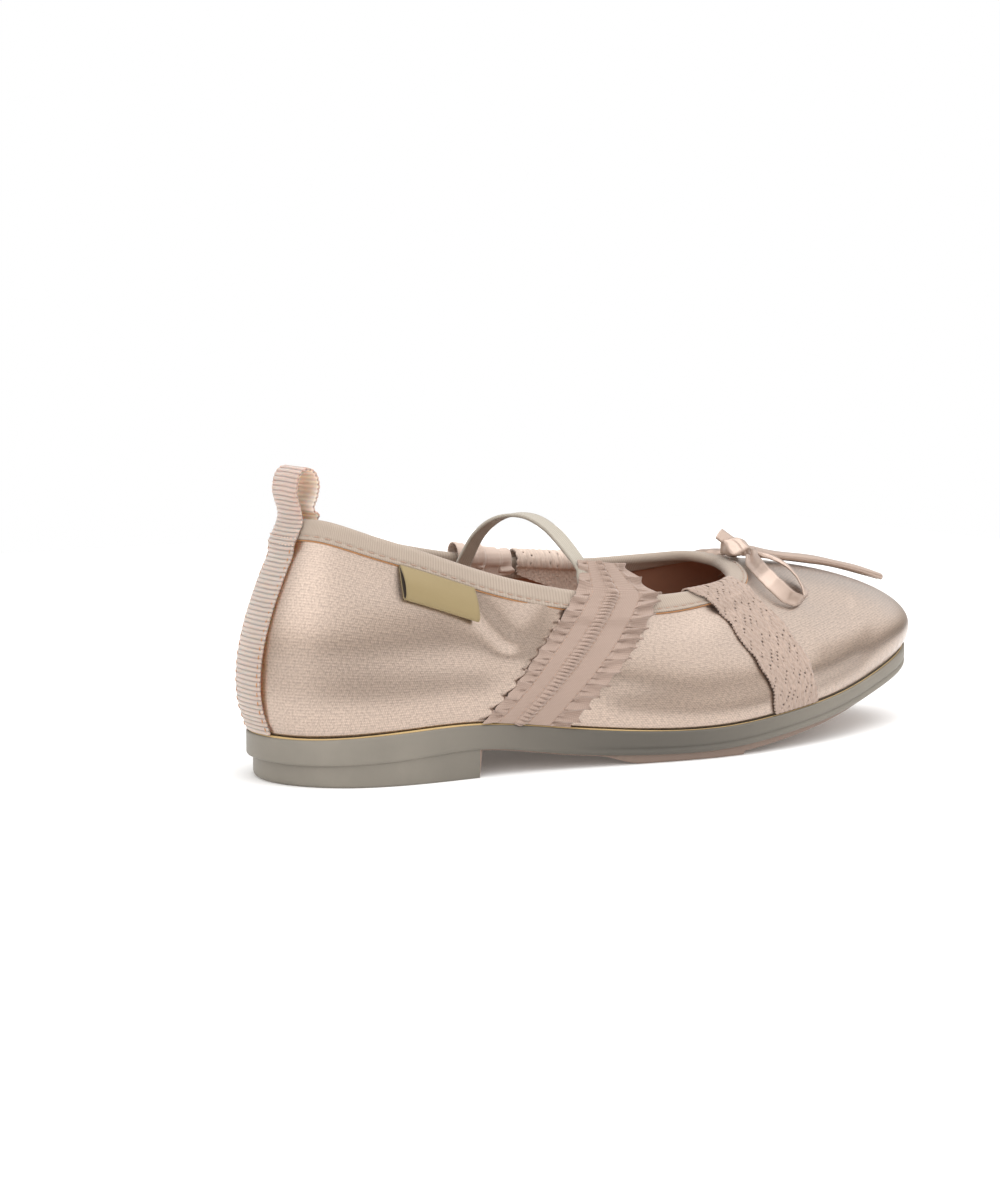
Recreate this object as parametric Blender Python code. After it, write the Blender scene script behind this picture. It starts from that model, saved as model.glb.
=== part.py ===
"""A right ballet flat, modelled piece by piece on one function of its last.

Frame: +X runs from the heel to the toe, +Y to the inner (medial) side, +Z up, and Z = 0 is the plane that the
shoe stands on. Tables and sizes are in millimetres, with lengths taken from the back of the sole; mesh_object
moves X = 0 to the middle of the heel lift and turns the sizes to metres.
"""
import math
from collections import namedtuple

import bmesh
import bpy
import numpy as np

MM = 0.001

# Driving dimensions.
LENGTH = 255.0            # outsole, heel to toe
BALL_WIDTH = 86.0         # outsole across the ball
BACK_HEIGHT = 79.5        # floor to the top of the collar at the heel
WALL = 1.6                # satin with its backing and lining
GAP = 0.3                 # between pieces that touch
FEATHER = 1.4             # the upper's foot stands this far in from the sole's edge
RING = 76                 # sections around the shoe
WALL_ROWS = 8             # rows from the sole's edge to the collar
ROW_SPREAD = 1.3          # over 1, the rows lie closer near the sole

# Outsole: side band, heel lift and tread. Lengths are from the back of the sole.
HEEL_REST = 31.0          # the frame's origin, under the middle of the heel lift
HEEL_BREAST = 62.0        # front face of the heel lift
BREAST_SLANT = 1.5
TREAD_START = 104.0       # behind it the arch is clear of the floor
TREAD_FLAT = (118.0, 156.0)
TREAD_DEPTH = 2.4         # tread layer below the side band
TREAD_STEP = 1.9          # the tread stands this far in
LIFT_STEP = 0.7           # and the lift this far, more at the back
LIFT_STEP_BACK = 1.7
EDGE_ROUND = 0.7          # upper edge of the side band
FOOT_ROUND = 0.5          # lower edge of lift and tread, more at the back
FOOT_ROUND_BACK = 1.2
GROOVE_DEPTH = 0.5        # moulded line low on the side band, from the arch forward
GROOVE_START = (80.0, 120.0)
ARCH_DEPTH = 0.5

# Collar binding: a tape folded over the wall's edge.
TAPE = 0.7
BIND_OUTSIDE = 6.4
BIND_INSIDE = 5.4
OVER_BINDING = 1.45       # trims stand this far off the wall where they cross the binding

# Trim.
RIBBON_WIDTH = 15.6
RIBBON_THICK = 0.9
LACE_THICK = 0.8
ELASTIC_WIDTH = 5.4
ELASTIC_THICK = 1.3
INSOLE_THICK = 3.0
INSOLE_ROUND = 0.8        # its upper edge

# Outsole sections. station: fraction of LENGTH; lateral and medial: half widths as fractions of BALL_WIDTH;
# top and low: upper and lower edge of the side band, as fractions of BACK_HEIGHT.
Sole = namedtuple("Sole", "station lateral medial top low")
SOLE = (
    Sole(0.00, 0.000, 0.000, 0.187, 0.091),
    Sole(0.03, 0.212, 0.206, 0.185, 0.086),
    Sole(0.08, 0.319, 0.310, 0.193, 0.089),
    Sole(0.16, 0.373, 0.360, 0.207, 0.101),
    Sole(0.26, 0.379, 0.341, 0.206, 0.109),
    Sole(0.36, 0.402, 0.321, 0.167, 0.064),
    Sole(0.47, 0.469, 0.366, 0.133, 0.037),
    Sole(0.58, 0.512, 0.449, 0.127, 0.037),
    Sole(0.68, 0.490, 0.488, 0.152, 0.066),
    Sole(0.78, 0.424, 0.471, 0.189, 0.108),
    Sole(0.87, 0.331, 0.419, 0.246, 0.168),
    Sole(0.94, 0.238, 0.337, 0.309, 0.226),
    Sole(0.98, 0.122, 0.238, 0.340, 0.259),
    Sole(1.00, -0.058, 0.058, 0.354, 0.277),
)

# The last above the sole, a row for each section. The collar's edge is given as along (fraction of LENGTH),
# out (fraction of BALL_WIDTH) and up (fraction of BACK_HEIGHT) on the lateral and the medial side. belly and
# rise shape the wall above the sole, shoulder and drop below the collar, in the same fractions as out and up.
Wall = namedtuple("Wall", "station along lat_out lat_up med_out med_up belly rise shoulder drop")
WALLS = (
    Wall(0.00, 0.053, 0.000, 0.990, 0.000, 0.990, 0.116, 0.264, 0.088, 0.220),
    Wall(0.03, 0.074, 0.157, 0.990, 0.151, 0.988, 0.105, 0.264, 0.074, 0.214),
    Wall(0.08, 0.118, 0.242, 0.938, 0.230, 0.945, 0.081, 0.252, 0.066, 0.201),
    Wall(0.16, 0.184, 0.298, 0.866, 0.284, 0.890, 0.064, 0.226, 0.058, 0.189),
    Wall(0.26, 0.271, 0.326, 0.771, 0.305, 0.825, 0.058, 0.214, 0.052, 0.176),
    Wall(0.36, 0.361, 0.337, 0.701, 0.314, 0.775, 0.052, 0.189, 0.052, 0.164),
    Wall(0.47, 0.455, 0.329, 0.654, 0.316, 0.744, 0.052, 0.176, 0.056, 0.138),
    Wall(0.58, 0.537, 0.305, 0.641, 0.302, 0.731, 0.052, 0.176, 0.070, 0.101),
    Wall(0.68, 0.602, 0.276, 0.653, 0.273, 0.738, 0.052, 0.182, 0.093, 0.070),
    Wall(0.78, 0.649, 0.220, 0.669, 0.238, 0.747, 0.058, 0.189, 0.151, 0.044),
    Wall(0.87, 0.680, 0.128, 0.690, 0.196, 0.752, 0.081, 0.182, 0.256, 0.019),
    Wall(0.94, 0.693, 0.051, 0.707, 0.130, 0.746, 0.124, 0.176, 0.372, 0.006),
    Wall(0.98, 0.698, 0.010, 0.717, 0.072, 0.738, 0.163, 0.170, 0.465, 0.000),
    Wall(1.00, 0.700, -0.030, 0.727, 0.030, 0.727, 0.188, 0.164, 0.511, -0.003),
)

LATERAL, MEDIAL = -1, 1
FULL_TURN = 2.0 * math.pi


class ClosedSpline:
    """Smooth closed curve through values given at angles around the shoe."""

    def __init__(self, angles, values):
        self.angles = np.asarray(angles, float)
        self.values = np.asarray(values, float)
        count = len(self.angles)
        self.steps = np.diff(np.append(self.angles, self.angles[0] + FULL_TURN))
        slopes = (np.roll(self.values, -1, 0) - self.values) / self.steps[:, None]
        system = np.zeros((count, count))
        for i in range(count):
            before, after = self.steps[i - 1], self.steps[i]
            system[i, i - 1] += before
            system[i, i] += 2.0 * (before + after)
            system[i, (i + 1) % count] += after
        self.bends = np.linalg.solve(system, 6.0 * (slopes - np.roll(slopes, 1, 0)))

    def __call__(self, angle):
        angle = np.mod(angle, FULL_TURN)
        i = np.searchsorted(self.angles, angle, side="right") - 1
        after = (i + 1) % len(self.angles)
        step = self.steps[i][..., None]
        t = (angle - self.angles[i])[..., None]
        r = step - t
        return ((self.bends[i] * r ** 3 + self.bends[after] * t ** 3) / (6.0 * step)
                + (self.values[i] / step - self.bends[i] * step / 6.0) * r
                + (self.values[after] / step - self.bends[after] * step / 6.0) * t)


def section_angle(station):
    """Angle around the shoe on the lateral side at a fraction of its length."""
    return math.acos(1.0 - 2.0 * station)


def around(rows, lateral_values, medial_values):
    """Closed spline from table rows: back, lateral side, toe, medial side."""
    angles = [section_angle(row.station) for row in rows]
    values = [lateral_values(row) for row in rows]
    angles += [FULL_TURN - section_angle(row.station) for row in rows[-2:0:-1]]
    values += [medial_values(row) for row in rows[-2:0:-1]]
    return ClosedSpline(angles, values)


SOLE_CURVE = around(
    SOLE,
    lambda row: (-row.lateral * BALL_WIDTH, row.top * BACK_HEIGHT, row.low * BACK_HEIGHT),
    lambda row: (row.medial * BALL_WIDTH, row.top * BACK_HEIGHT, row.low * BACK_HEIGHT))
WALL_CURVE = around(
    WALLS,
    lambda row: (row.along * LENGTH, -row.lat_out * BALL_WIDTH, row.lat_up * BACK_HEIGHT,
                 row.belly * BALL_WIDTH, row.rise * BACK_HEIGHT,
                 row.shoulder * BALL_WIDTH, row.drop * BACK_HEIGHT),
    lambda row: (row.along * LENGTH, row.med_out * BALL_WIDTH, row.med_up * BACK_HEIGHT,
                 row.belly * BALL_WIDTH, row.rise * BACK_HEIGHT,
                 row.shoulder * BALL_WIDTH, row.drop * BACK_HEIGHT))


def unit(vectors):
    return vectors / np.linalg.norm(vectors, axis=-1, keepdims=True)


def length_at(angle):
    return LENGTH * (1.0 - np.cos(angle)) / 2.0


def sole_edge(angle, inset=0.0):
    """Plan outline of the sole at these angles, moved in by inset: x and y."""
    step = 1e-3

    def outline(at):
        return np.stack([length_at(at), SOLE_CURVE(at)[..., 0]], -1)

    tangent = unit(outline(angle + step) - outline(angle - step))
    inward = np.stack([-tangent[..., 1], tangent[..., 0]], -1)
    return outline(angle) + inward * np.asarray(inset)[..., None]


def band_top(angle):
    return SOLE_CURVE(angle)[..., 1]


def band_low(angle):
    return SOLE_CURVE(angle)[..., 2]


def last(angle, rise):
    """Outer face of the upper: rise 0 is its foot on the sole, 1 the collar's edge."""
    angle, rise = np.broadcast_arrays(np.asarray(angle, float), np.asarray(rise, float))
    edge = sole_edge(angle, FEATHER)
    outward = unit(sole_edge(angle) - sole_edge(angle, 1.0))
    top_x, top_y, top_z, belly, up, shoulder, drop = np.moveaxis(WALL_CURVE(angle), -1, 0)
    foot = np.stack([edge[..., 0], edge[..., 1], band_top(angle) + GAP], -1)
    collar = np.stack([top_x, top_y, top_z], -1)
    lean = unit(foot[..., :2] - collar[..., :2] + 6.0 * outward)
    low = foot + np.concatenate([outward * belly[..., None], up[..., None]], -1)
    high = collar + np.concatenate([lean * shoulder[..., None], -drop[..., None]], -1)
    t = rise[..., None]
    s = 1.0 - t
    return s ** 3 * foot + 3.0 * s * s * t * low + 3.0 * s * t * t * high + t ** 3 * collar


def last_normal(angle, rise):
    """Unit normal of the upper's outer face, pointing out of the shoe."""
    step = 1e-3
    rise = np.clip(rise, step, 1.0 - step)
    along = last(angle + step, rise) - last(angle - step, rise)
    up = last(angle, rise + step) - last(angle, rise - step)
    return unit(np.cross(along, up))


def rise_at(angle, depth):
    """Rise of the point that lies depth millimetres below the collar's edge, along the wall."""
    rises = np.linspace(1.0, 0.0, 41)
    result = np.empty(np.shape(angle))
    for index in np.ndindex(result.shape):
        points = last(np.full(rises.shape, angle[index]), rises)
        run = np.append(0.0, np.cumsum(np.linalg.norm(np.diff(points, axis=0), axis=1)))
        result[index] = np.interp(depth[index], run, rises)
    return result


def angle_at(side, x, rise):
    """Angle on one side of the shoe where the wall at this rise reaches x."""
    angles = np.linspace(0.03, math.pi - 0.03, 240)
    if side == MEDIAL:
        angles = FULL_TURN - angles
    result = np.empty(np.shape(x))
    for index in np.ndindex(result.shape):
        reach = last(angles, np.full(angles.shape, min(rise[index], 1.0)))[:, 0]
        result[index] = np.interp(x[index], reach, angles)
    return result


CROWN = 3.0    # stretch of the rim profile that goes over the wall's edge


def rim(angle, run, lift):
    """Point near the collar's edge, lift millimetres off the wall.

    run is measured along the wall: below zero outside the shoe, from zero to CROWN over the edge, and beyond
    CROWN down the inside.
    """
    angle, run, lift = np.broadcast_arrays(np.asarray(angle, float), run, lift)
    depth = np.where(run < 0.0, -run, np.maximum(run - CROWN, 0.0))
    rise = rise_at(angle, depth)
    point = last(angle, rise)
    normal = last_normal(angle, rise)
    turn = math.pi * np.clip(run / CROWN, 0.0, 1.0)[..., None]
    tangent = unit(last(angle, rise) - last(angle, rise - 0.01))
    middle = point - normal * WALL / 2.0
    reach = WALL / 2.0 + lift[..., None]
    return middle + reach * (normal * np.cos(turn) + tangent * np.sin(turn))


def mesh_object(name, vertices, faces, colour, roughness):
    """Object from vertices in millimetres, with its own material."""
    bm = bmesh.new()
    corners = [bm.verts.new([(x - HEEL_REST) * MM, y * MM, z * MM]) for x, y, z in vertices]
    for face in faces:
        bm.faces.new([corners[i] for i in face])
    bmesh.ops.recalc_face_normals(bm, faces=bm.faces)
    mesh = bpy.data.meshes.new(name)
    bm.to_mesh(mesh)
    bm.free()
    mesh.shade_smooth()
    mesh.set_sharp_from_angle(angle=math.radians(40.0))
    material = bpy.data.materials.new(name)
    material.use_nodes = True
    shader = material.node_tree.nodes["Principled BSDF"]
    shader.inputs["Base Color"].default_value = (*colour, 1.0)
    shader.inputs["Roughness"].default_value = roughness
    mesh.materials.append(material)
    item = bpy.data.objects.new(name, mesh)
    bpy.context.scene.collection.objects.link(item)
    return item


def grid_faces(rows, columns, start, close_rows=False, close_columns=False):
    """Quads of a grid of vertices that starts at one vertex number."""
    faces = []
    for i in range(rows if close_rows else rows - 1):
        for j in range(columns if close_columns else columns - 1):
            a, b = i * columns, (i + 1) % rows * columns
            k = (j + 1) % columns
            faces.append([start + a + j, start + b + j, start + b + k, start + a + k])
    return faces


def shell(name, front, back, colour, roughness, closed=False):
    """Solid between two grids of points; closed joins the last row to the first."""
    rows, columns = front.shape[:2]
    count = rows * columns
    faces = grid_faces(rows, columns, 0, close_rows=closed)
    faces += [face[::-1] for face in grid_faces(rows, columns, count, close_rows=closed)]
    for column in (0, columns - 1):
        for i in range(rows if closed else rows - 1):
            a, b = i * columns + column, (i + 1) % rows * columns + column
            faces.append([a, b, count + b, count + a])
    if not closed:
        for row in (0, rows - 1):
            for j in range(columns - 1):
                a = row * columns + j
                faces.append([a, a + 1, count + a + 1, count + a])
    points = np.concatenate([front.reshape(-1, 3), back.reshape(-1, 3)])
    return mesh_object(name, points, faces, colour, roughness)


def sweep(name, sections, colour, roughness, closed=False):
    """Solid through section loops, closed on itself or capped at both ends."""
    rows, columns = sections.shape[:2]
    faces = grid_faces(rows, columns, 0, close_rows=closed, close_columns=True)
    if not closed:
        faces.append(list(range(columns)))
        faces.append([(rows - 1) * columns + j for j in range(columns)])
    return mesh_object(name, sections.reshape(-1, 3), faces, colour, roughness)


def drum(name, rings, angles, colour, roughness):
    """Solid of rings around the shoe, its two end faces laid in strips from side to side."""
    count = len(angles)
    faces = grid_faces(len(rings), count, 0, close_columns=True)
    for start in (0, (len(rings) - 1) * count):
        for i in range(1, count // 2):
            strip = [start + i, start + i + 1, start + count - i - 1, start + (count - i) % count]
            faces.append(strip if i + 1 < count // 2 else strip[:2] + strip[3:])
        faces.append([start, start + 1, start + count - 1])
    return mesh_object(name, np.concatenate(rings), faces, colour, roughness)


def sheet_normals(sheet):
    along = np.gradient(sheet, axis=0)
    across = np.gradient(sheet, axis=1)
    return unit(np.cross(along, across))


def ribbon(name, sheet, thickness, colour, roughness):
    """Solid ribbon of even thickness around a sheet of points."""
    offset = sheet_normals(sheet) * thickness / 2.0
    return shell(name, sheet + offset, sheet - offset, colour, roughness)


def smooth_path(points, count):
    """Evenly spread points of a smooth curve through the given ones."""
    points = np.asarray(points, float)
    ends = np.concatenate([[2.0 * points[0] - points[1]], points, [2.0 * points[-1] - points[-2]]])
    fine = []
    for a, b, c, d in zip(ends, ends[1:], ends[2:], ends[3:]):
        for t in np.linspace(0.0, 1.0, 12, endpoint=False):
            fine.append(0.5 * (2.0 * b + (c - a) * t + (2.0 * a - 5.0 * b + 4.0 * c - d) * t ** 2
                               + (3.0 * b - a - 3.0 * c + d) * t ** 3))
    fine.append(points[-1])
    fine = np.array(fine)
    run = np.append(0.0, np.cumsum(np.linalg.norm(np.diff(fine, axis=0), axis=1)))
    wanted = np.linspace(0.0, run[-1], count)
    return np.stack([np.interp(wanted, run, column) for column in fine.T], -1)


def smoothstep(value, low, high):
    t = np.clip((value - low) / (high - low), 0.0, 1.0)
    return t * t * (3.0 - 2.0 * t)


SATIN = (0.73, 0.58, 0.47)
TAPE_PINK = (0.72, 0.55, 0.45)
TRIM_PINK = (0.62, 0.47, 0.39)
RUBBER = (0.29, 0.26, 0.21)
LINING = (0.22, 0.12, 0.08)
ELASTIC_BEIGE = (0.57, 0.52, 0.43)
LABEL_GOLD = (0.50, 0.44, 0.19)


def both_sides(*lengths):
    """Angles at which the sole's outline passes these distances from the heel, on both sides."""
    angles = [section_angle(x / LENGTH) for x in lengths]
    return angles + [FULL_TURN - angle for angle in angles]


def under_side(x, low):
    """Height of the sole's underside: lift, arch, flat tread and toe spring."""
    spring = low - TREAD_DEPTH * (1.0 - 0.9 * smoothstep(x, TREAD_FLAT[1], LENGTH))
    arch = (low - ARCH_DEPTH) * (1.0 - smoothstep(x, TREAD_START, TREAD_FLAT[0]))
    height = np.where(x <= HEEL_BREAST + 0.01, 0.0, arch)
    return np.where(x > TREAD_FLAT[1] + 0.01, np.maximum(spring, 0.0), height)


def make_outsole():
    """One moulded rubber sole: side band with a groove, and a lift and a tread that stand in under it."""
    angles = np.linspace(0.0, FULL_TURN, RING, endpoint=False)
    extra = both_sides(HEEL_BREAST, HEEL_BREAST + BREAST_SLANT, TREAD_START, *TREAD_FLAT)
    angles = np.array(sorted(set(np.round(np.concatenate([angles, extra]), 6))))
    x = length_at(angles)
    top, low = band_top(angles), band_low(angles)
    under = under_side(x, low)
    outward = unit(sole_edge(angles) - sole_edge(angles, 1.0))
    backward = np.maximum(-outward[:, 0], 0.0)
    lift = x < HEEL_BREAST + BREAST_SLANT / 2.0
    step = np.where(lift, LIFT_STEP + LIFT_STEP_BACK * backward ** 2, TREAD_STEP)
    foot = FOOT_ROUND + np.where(lift, FOOT_ROUND_BACK * backward, 0.0)
    foot = np.minimum(foot, (low - under) / 4.0)
    groove = GROOVE_DEPTH * smoothstep(x, *GROOVE_START)
    # Height and distance in from the outline, from the band's upper edge down to the floor.
    profile = ((top, EDGE_ROUND), (top - EDGE_ROUND, 0.0), (low + 2.6, 0.0), (low + 2.2, groove),
               (low + 1.8, groove), (low + 1.4, 0.0), (low + 0.5, 0.0), (low, 0.5), (low - 0.05, step),
               (under + foot, step), (under, step + foot))
    rings = [np.column_stack([sole_edge(angles, inset + np.zeros_like(x)), height])
             for height, inset in profile]
    drum("outsole", rings, angles, RUBBER, 0.55)


def make_insole():
    """Padded sock that lies on the sole inside the upper."""
    angles = np.linspace(0.0, FULL_TURN, RING, endpoint=False)
    seat = band_top(angles) + GAP
    side = FEATHER + WALL + 2.0 * GAP
    profile = ((0.0, side + GAP), (INSOLE_THICK - INSOLE_ROUND, side), (INSOLE_THICK, side + INSOLE_ROUND))
    rings = [np.column_stack([sole_edge(angles, inset + np.zeros_like(seat)), seat + height])
             for height, inset in profile]
    drum("insole", rings, angles, LINING, 0.8)


def make_upper():
    """One hollow wall from the sole's edge to the collar, open above and below."""
    angles = np.linspace(0.0, FULL_TURN, RING, endpoint=False)
    rises = 1.0 - np.linspace(1.0, 0.0, WALL_ROWS + 1) ** ROW_SPREAD
    angle, rise = np.meshgrid(angles, rises, indexing="ij")
    outside = last(angle, rise)
    inside = outside - last_normal(angle, rise) * WALL
    inside[:, 0, :2] = sole_edge(angles, FEATHER + WALL)
    inside[:, 0, 2] = outside[:, 0, 2]
    shell("upper", outside, inside, SATIN, 0.35, closed=True)


def make_binding():
    """Tape folded over the wall's edge: a U section carried around the collar."""
    tape = GAP + TAPE
    over = ((-BIND_OUTSIDE, tape), (-BIND_OUTSIDE / 2.0, tape), (0.0, tape), (CROWN / 2.0, tape),
            (CROWN, tape), (CROWN + BIND_INSIDE, tape))
    back = tuple((run, GAP) for run, _ in reversed(over))
    profile = np.array(over + back)
    angle, point = np.meshgrid(np.linspace(0.0, FULL_TURN, RING, endpoint=False),
                               np.arange(len(profile)), indexing="ij")
    sections = rim(angle, profile[point, 0], profile[point, 1])
    sweep("collar_binding", sections, TAPE_PINK, 0.8, closed=True)


def angle_across(y, rise):
    """Angle near the back seam at which the wall reaches y at this rise."""
    angles = np.linspace(-0.9, 0.9, 181)
    result = np.empty(np.shape(y))
    for index in np.ndindex(result.shape):
        reach = last(angles, np.full(angles.shape, rise[index]))[:, 1]
        result[index] = np.interp(-y[index], -reach, angles)
    return result


def depth_at(angle, rise):
    """Distance below the collar's edge, along the wall."""
    result = np.empty(np.shape(rise))
    for index in np.ndindex(result.shape):
        rises = np.linspace(min(rise[index], 1.0), 1.0, 25)
        points = last(np.full(rises.shape, angle[index]), rises)
        result[index] = np.linalg.norm(np.diff(points, axis=0), axis=1).sum()
    return result


def clearance(depth):
    """Height off the wall that a trim needs at a distance below the collar's edge, to clear the binding."""
    near = 1.0 - smoothstep(depth, BIND_OUTSIDE + 0.4, BIND_OUTSIDE + 4.0)
    return GAP + (OVER_BINDING - GAP) * near


# Side view of the pull loop above the collar, x and z of the ribbon's middle, from the outer leg over the
# top to the inner leg.
PULL_LOOP = ((11.4, 81.4), (11.5, 84.0), (11.1, 87.2), (11.2, 90.6), (12.4, 94.4), (15.1, 96.0),
             (17.8, 94.4), (18.8, 90.6), (17.8, 87.0), (16.4, 84.6), (16.2, 83.2), (17.5, 81.5))
LOOP_BOW = 2.1            # how far its edges stand forward of its middle at the collar
LOOP_INNER = (1.5, 9.0)   # the inner leg lies from and to these depths below the collar's edge
# Rows of the outer leg: distances below the collar's edge.
OUTER_DEPTHS = (58.0, 52.0, 46.0, 40.0, 34.0, 28.0, 22.0, 16.5, 11.0, 7.2, 3.8, 0.6)


def make_heel_ribbon():
    """One ribbon: up the back seam, over as a pull loop, and down inside the collar."""
    across = np.linspace(-RIBBON_WIDTH / 2.0, RIBBON_WIDTH / 2.0, 5)
    half = RIBBON_THICK / 2.0
    depths = np.append(depth_at(np.zeros(1), np.zeros(1)) - 0.6, OUTER_DEPTHS)
    depth, y = np.meshgrid(depths, across, indexing="ij")
    rise = rise_at(np.zeros_like(depth), depth)
    angle = angle_across(y, rise)
    lift = clearance(depth) + half
    outer = last(angle, rise) + last_normal(angle, rise) * lift[..., None]
    path = smooth_path([(x, 0.0, z) for x, z in PULL_LOOP], 22)
    bow = LOOP_BOW * (1.0 - 0.8 * smoothstep(path[:, 2], 79.0, 90.0))
    bow *= 1.0 - 0.15 * smoothstep(path[:, 0], 12.0, 16.0)
    loop = np.repeat(path[:, None, :], len(across), axis=1)
    loop[..., 0] += bow[:, None] * (across / across[-1]) ** 2
    loop[..., 1] += across
    depth, y = np.meshgrid(np.linspace(*LOOP_INNER, 4), across * 0.9, indexing="ij")
    inner = rim(angle_across(y, np.ones_like(y)), CROWN + depth, OVER_BINDING + half)
    ribbon("heel_ribbon", np.concatenate([outer, loop, inner]), RIBBON_THICK, TAPE_PINK, 0.75)


# Trims across the foot. rise: place on the wall, 1 at the collar's edge; above: millimetres past that edge;
# rear and front: distance of the trim's two edges from the heel.
Row = namedtuple("Row", "rise above rear front")
RUFFLE_LATERAL = (Row(0.01, 0.0, 63.0, 94.0), Row(0.25, 0.0, 73.0, 102.0), Row(0.50, 0.0, 81.0, 112.5),
                  Row(0.75, 0.0, 89.5, 123.0), Row(1.00, 0.0, 97.5, 131.0), Row(1.00, 4.0, 99.5, 128.0),
                  Row(1.00, 11.5, 101.0, 121.0))
RUFFLE_MEDIAL = (Row(0.01, 0.0, 52.0, 84.0), Row(0.50, 0.0, 68.0, 98.0), Row(1.00, 0.0, 86.5, 108.0))
LACE_LATERAL = (Row(0.01, 0.0, 168.5, 188.5), Row(0.25, 0.0, 166.0, 186.0), Row(0.50, 0.0, 159.5, 180.5),
                Row(0.75, 0.0, 154.5, 174.0), Row(1.00, 0.0, 146.0, 168.0))
LACE_MEDIAL = (Row(0.01, 0.0, 150.0, 170.0), Row(0.50, 0.0, 132.0, 154.0), Row(1.00, 0.0, 110.0, 134.0))
# A trim folded over the collar's edge: how far down inside it ends, at its rear and at its front edge, and
# how far it stands off the binding on the way over.
Fold = namedtuple("Fold", "rear front proud")
LACE_FOLD = Fold(7.0, 7.0, 0.0)
LACE_FOLD_MEDIAL = Fold(3.5, 11.5, 2.0)
RUFFLE_FOLD = Fold(5.5, 4.0, 1.8)
RUFFLE_INSIDE_HEIGHT = 0.55    # pressed flat inside, to this share of its height
WALL_RUN = 55.0           # the wall's height in the waist, along it
FRILL_PITCH = 7.0
FRILL_SWAY = 0.7          # how far the frill's edge swings along the foot
# Height of the ruffled band over its base across its width, and how much of the frill's wave it takes.
Column = namedtuple("Column", "across height wave")
RUFFLE_COLUMNS = (Column(-1.00, 1.7, 0.9), Column(-0.84, 1.5, 0.6), Column(-0.68, 0.8, 0.0),
                  Column(-0.34, 1.0, 0.0), Column(-0.16, 1.9, 0.0), Column(0.02, 1.0, 0.0),
                  Column(0.53, 0.8, 0.0), Column(0.76, 1.5, 0.6), Column(1.00, 1.7, 0.9))


def along_rows(rows, spread):
    """Rows of a trim at these fractions of its length: arrays of rise, above, rear, front and run."""
    table = np.array([(row.rise * WALL_RUN, row.above, row.rear, row.front) for row in rows])
    middle = np.column_stack([table[:, 0] + table[:, 1], (table[:, 2] + table[:, 3]) / 2.0])
    run = np.append(0.0, np.cumsum(np.linalg.norm(np.diff(middle, axis=0), axis=1)))
    wanted = spread * run[-1]
    values = [np.interp(wanted, run, table[:, k]) for k in range(4)]
    return values[0] / WALL_RUN, values[1], values[2], values[3], wanted


def on_wall(side, rise, above, x):
    """Points, normals, clearances and angles of a trim on one side, and past the collar's edge."""
    rise, above, x = np.broadcast_arrays(rise, above, x)
    angle = angle_at(side, x, rise)
    normal = last_normal(angle, rise)
    tangent = unit(last(angle, rise) - last(angle, rise - 0.01))
    return last(angle, rise) + tangent * above[..., None], normal, clearance(depth_at(angle, rise)), angle


def fold_inside(angle, fold, share, lift):
    """Rows of a trim over the collar's edge and down inside it; share runs across the trim, 0 to 1."""
    over = np.array([1.0, 2.0, 3.0, 3.0, 3.0])[:, None] * CROWN / 3.0
    down = np.array([0.0, 0.0, 0.0, 0.5, 1.0])[:, None]
    proud = np.array([0.8, 1.0, 0.5, 0.0, 0.0])[:, None] * fold.proud
    return rim(angle, over + down * (fold.rear + (fold.front - fold.rear) * share), lift + proud)


def make_ruffle(name, side, rows, count, fold=None):
    """Ruffled band: two frills, two flat stretches and a gathered ridge; fold takes it over the collar."""
    rise, above, rear, front, run = along_rows(rows, np.linspace(0.0, 1.0, count))
    across = np.array([column.across for column in RUFFLE_COLUMNS])
    height = np.array([column.height for column in RUFFLE_COLUMNS])
    wave = np.array([column.wave for column in RUFFLE_COLUMNS])
    ripple = np.sin(FULL_TURN * run / FRILL_PITCH)[:, None]
    middle, half = (rear + front)[:, None] / 2.0, (front - rear)[:, None] / 2.0
    x = middle + half * across + FRILL_SWAY * ripple * wave * np.sign(across)
    point, normal, clear, angle = on_wall(side, rise[:, None], above[:, None], x)
    thick = height + wave * ripple
    front, back = point + normal * (clear + thick)[..., None], point + normal * clear[..., None]
    if fold:
        share = (across + 1.0) / 2.0
        flat = thick[-1] * np.linspace(1.0, RUFFLE_INSIDE_HEIGHT, 5)[:, None]
        front = np.concatenate([front, fold_inside(angle[-1], fold, share, OVER_BINDING + flat)])
        back = np.concatenate([back, fold_inside(angle[-1], fold, share, OVER_BINDING)])
    shell(name, front, back, TRIM_PINK, 0.8)


def make_lace(name, side, rows, fold):
    """Lace band up the wall, folded over the collar's edge and down inside."""
    spread = np.array([0.0, 0.12, 0.24, 0.36, 0.48, 0.60, 0.70, 0.78, 0.86, 0.93, 1.0])
    rise, above, rear, front, _ = along_rows(rows, spread)
    share = np.linspace(0.0, 1.0, 5)
    x = rear[:, None] + (front - rear)[:, None] * share
    point, normal, clear, angle = on_wall(side, rise[:, None], above[:, None], x)
    grids = []
    for lift in (0.0, LACE_THICK):
        outside = point + normal * (clear + lift)[..., None]
        grids.append(np.concatenate([outside, fold_inside(angle[-1], fold, share, OVER_BINDING + lift)]))
    shell(name, grids[1], grids[0], TRIM_PINK, 0.85)


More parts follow.
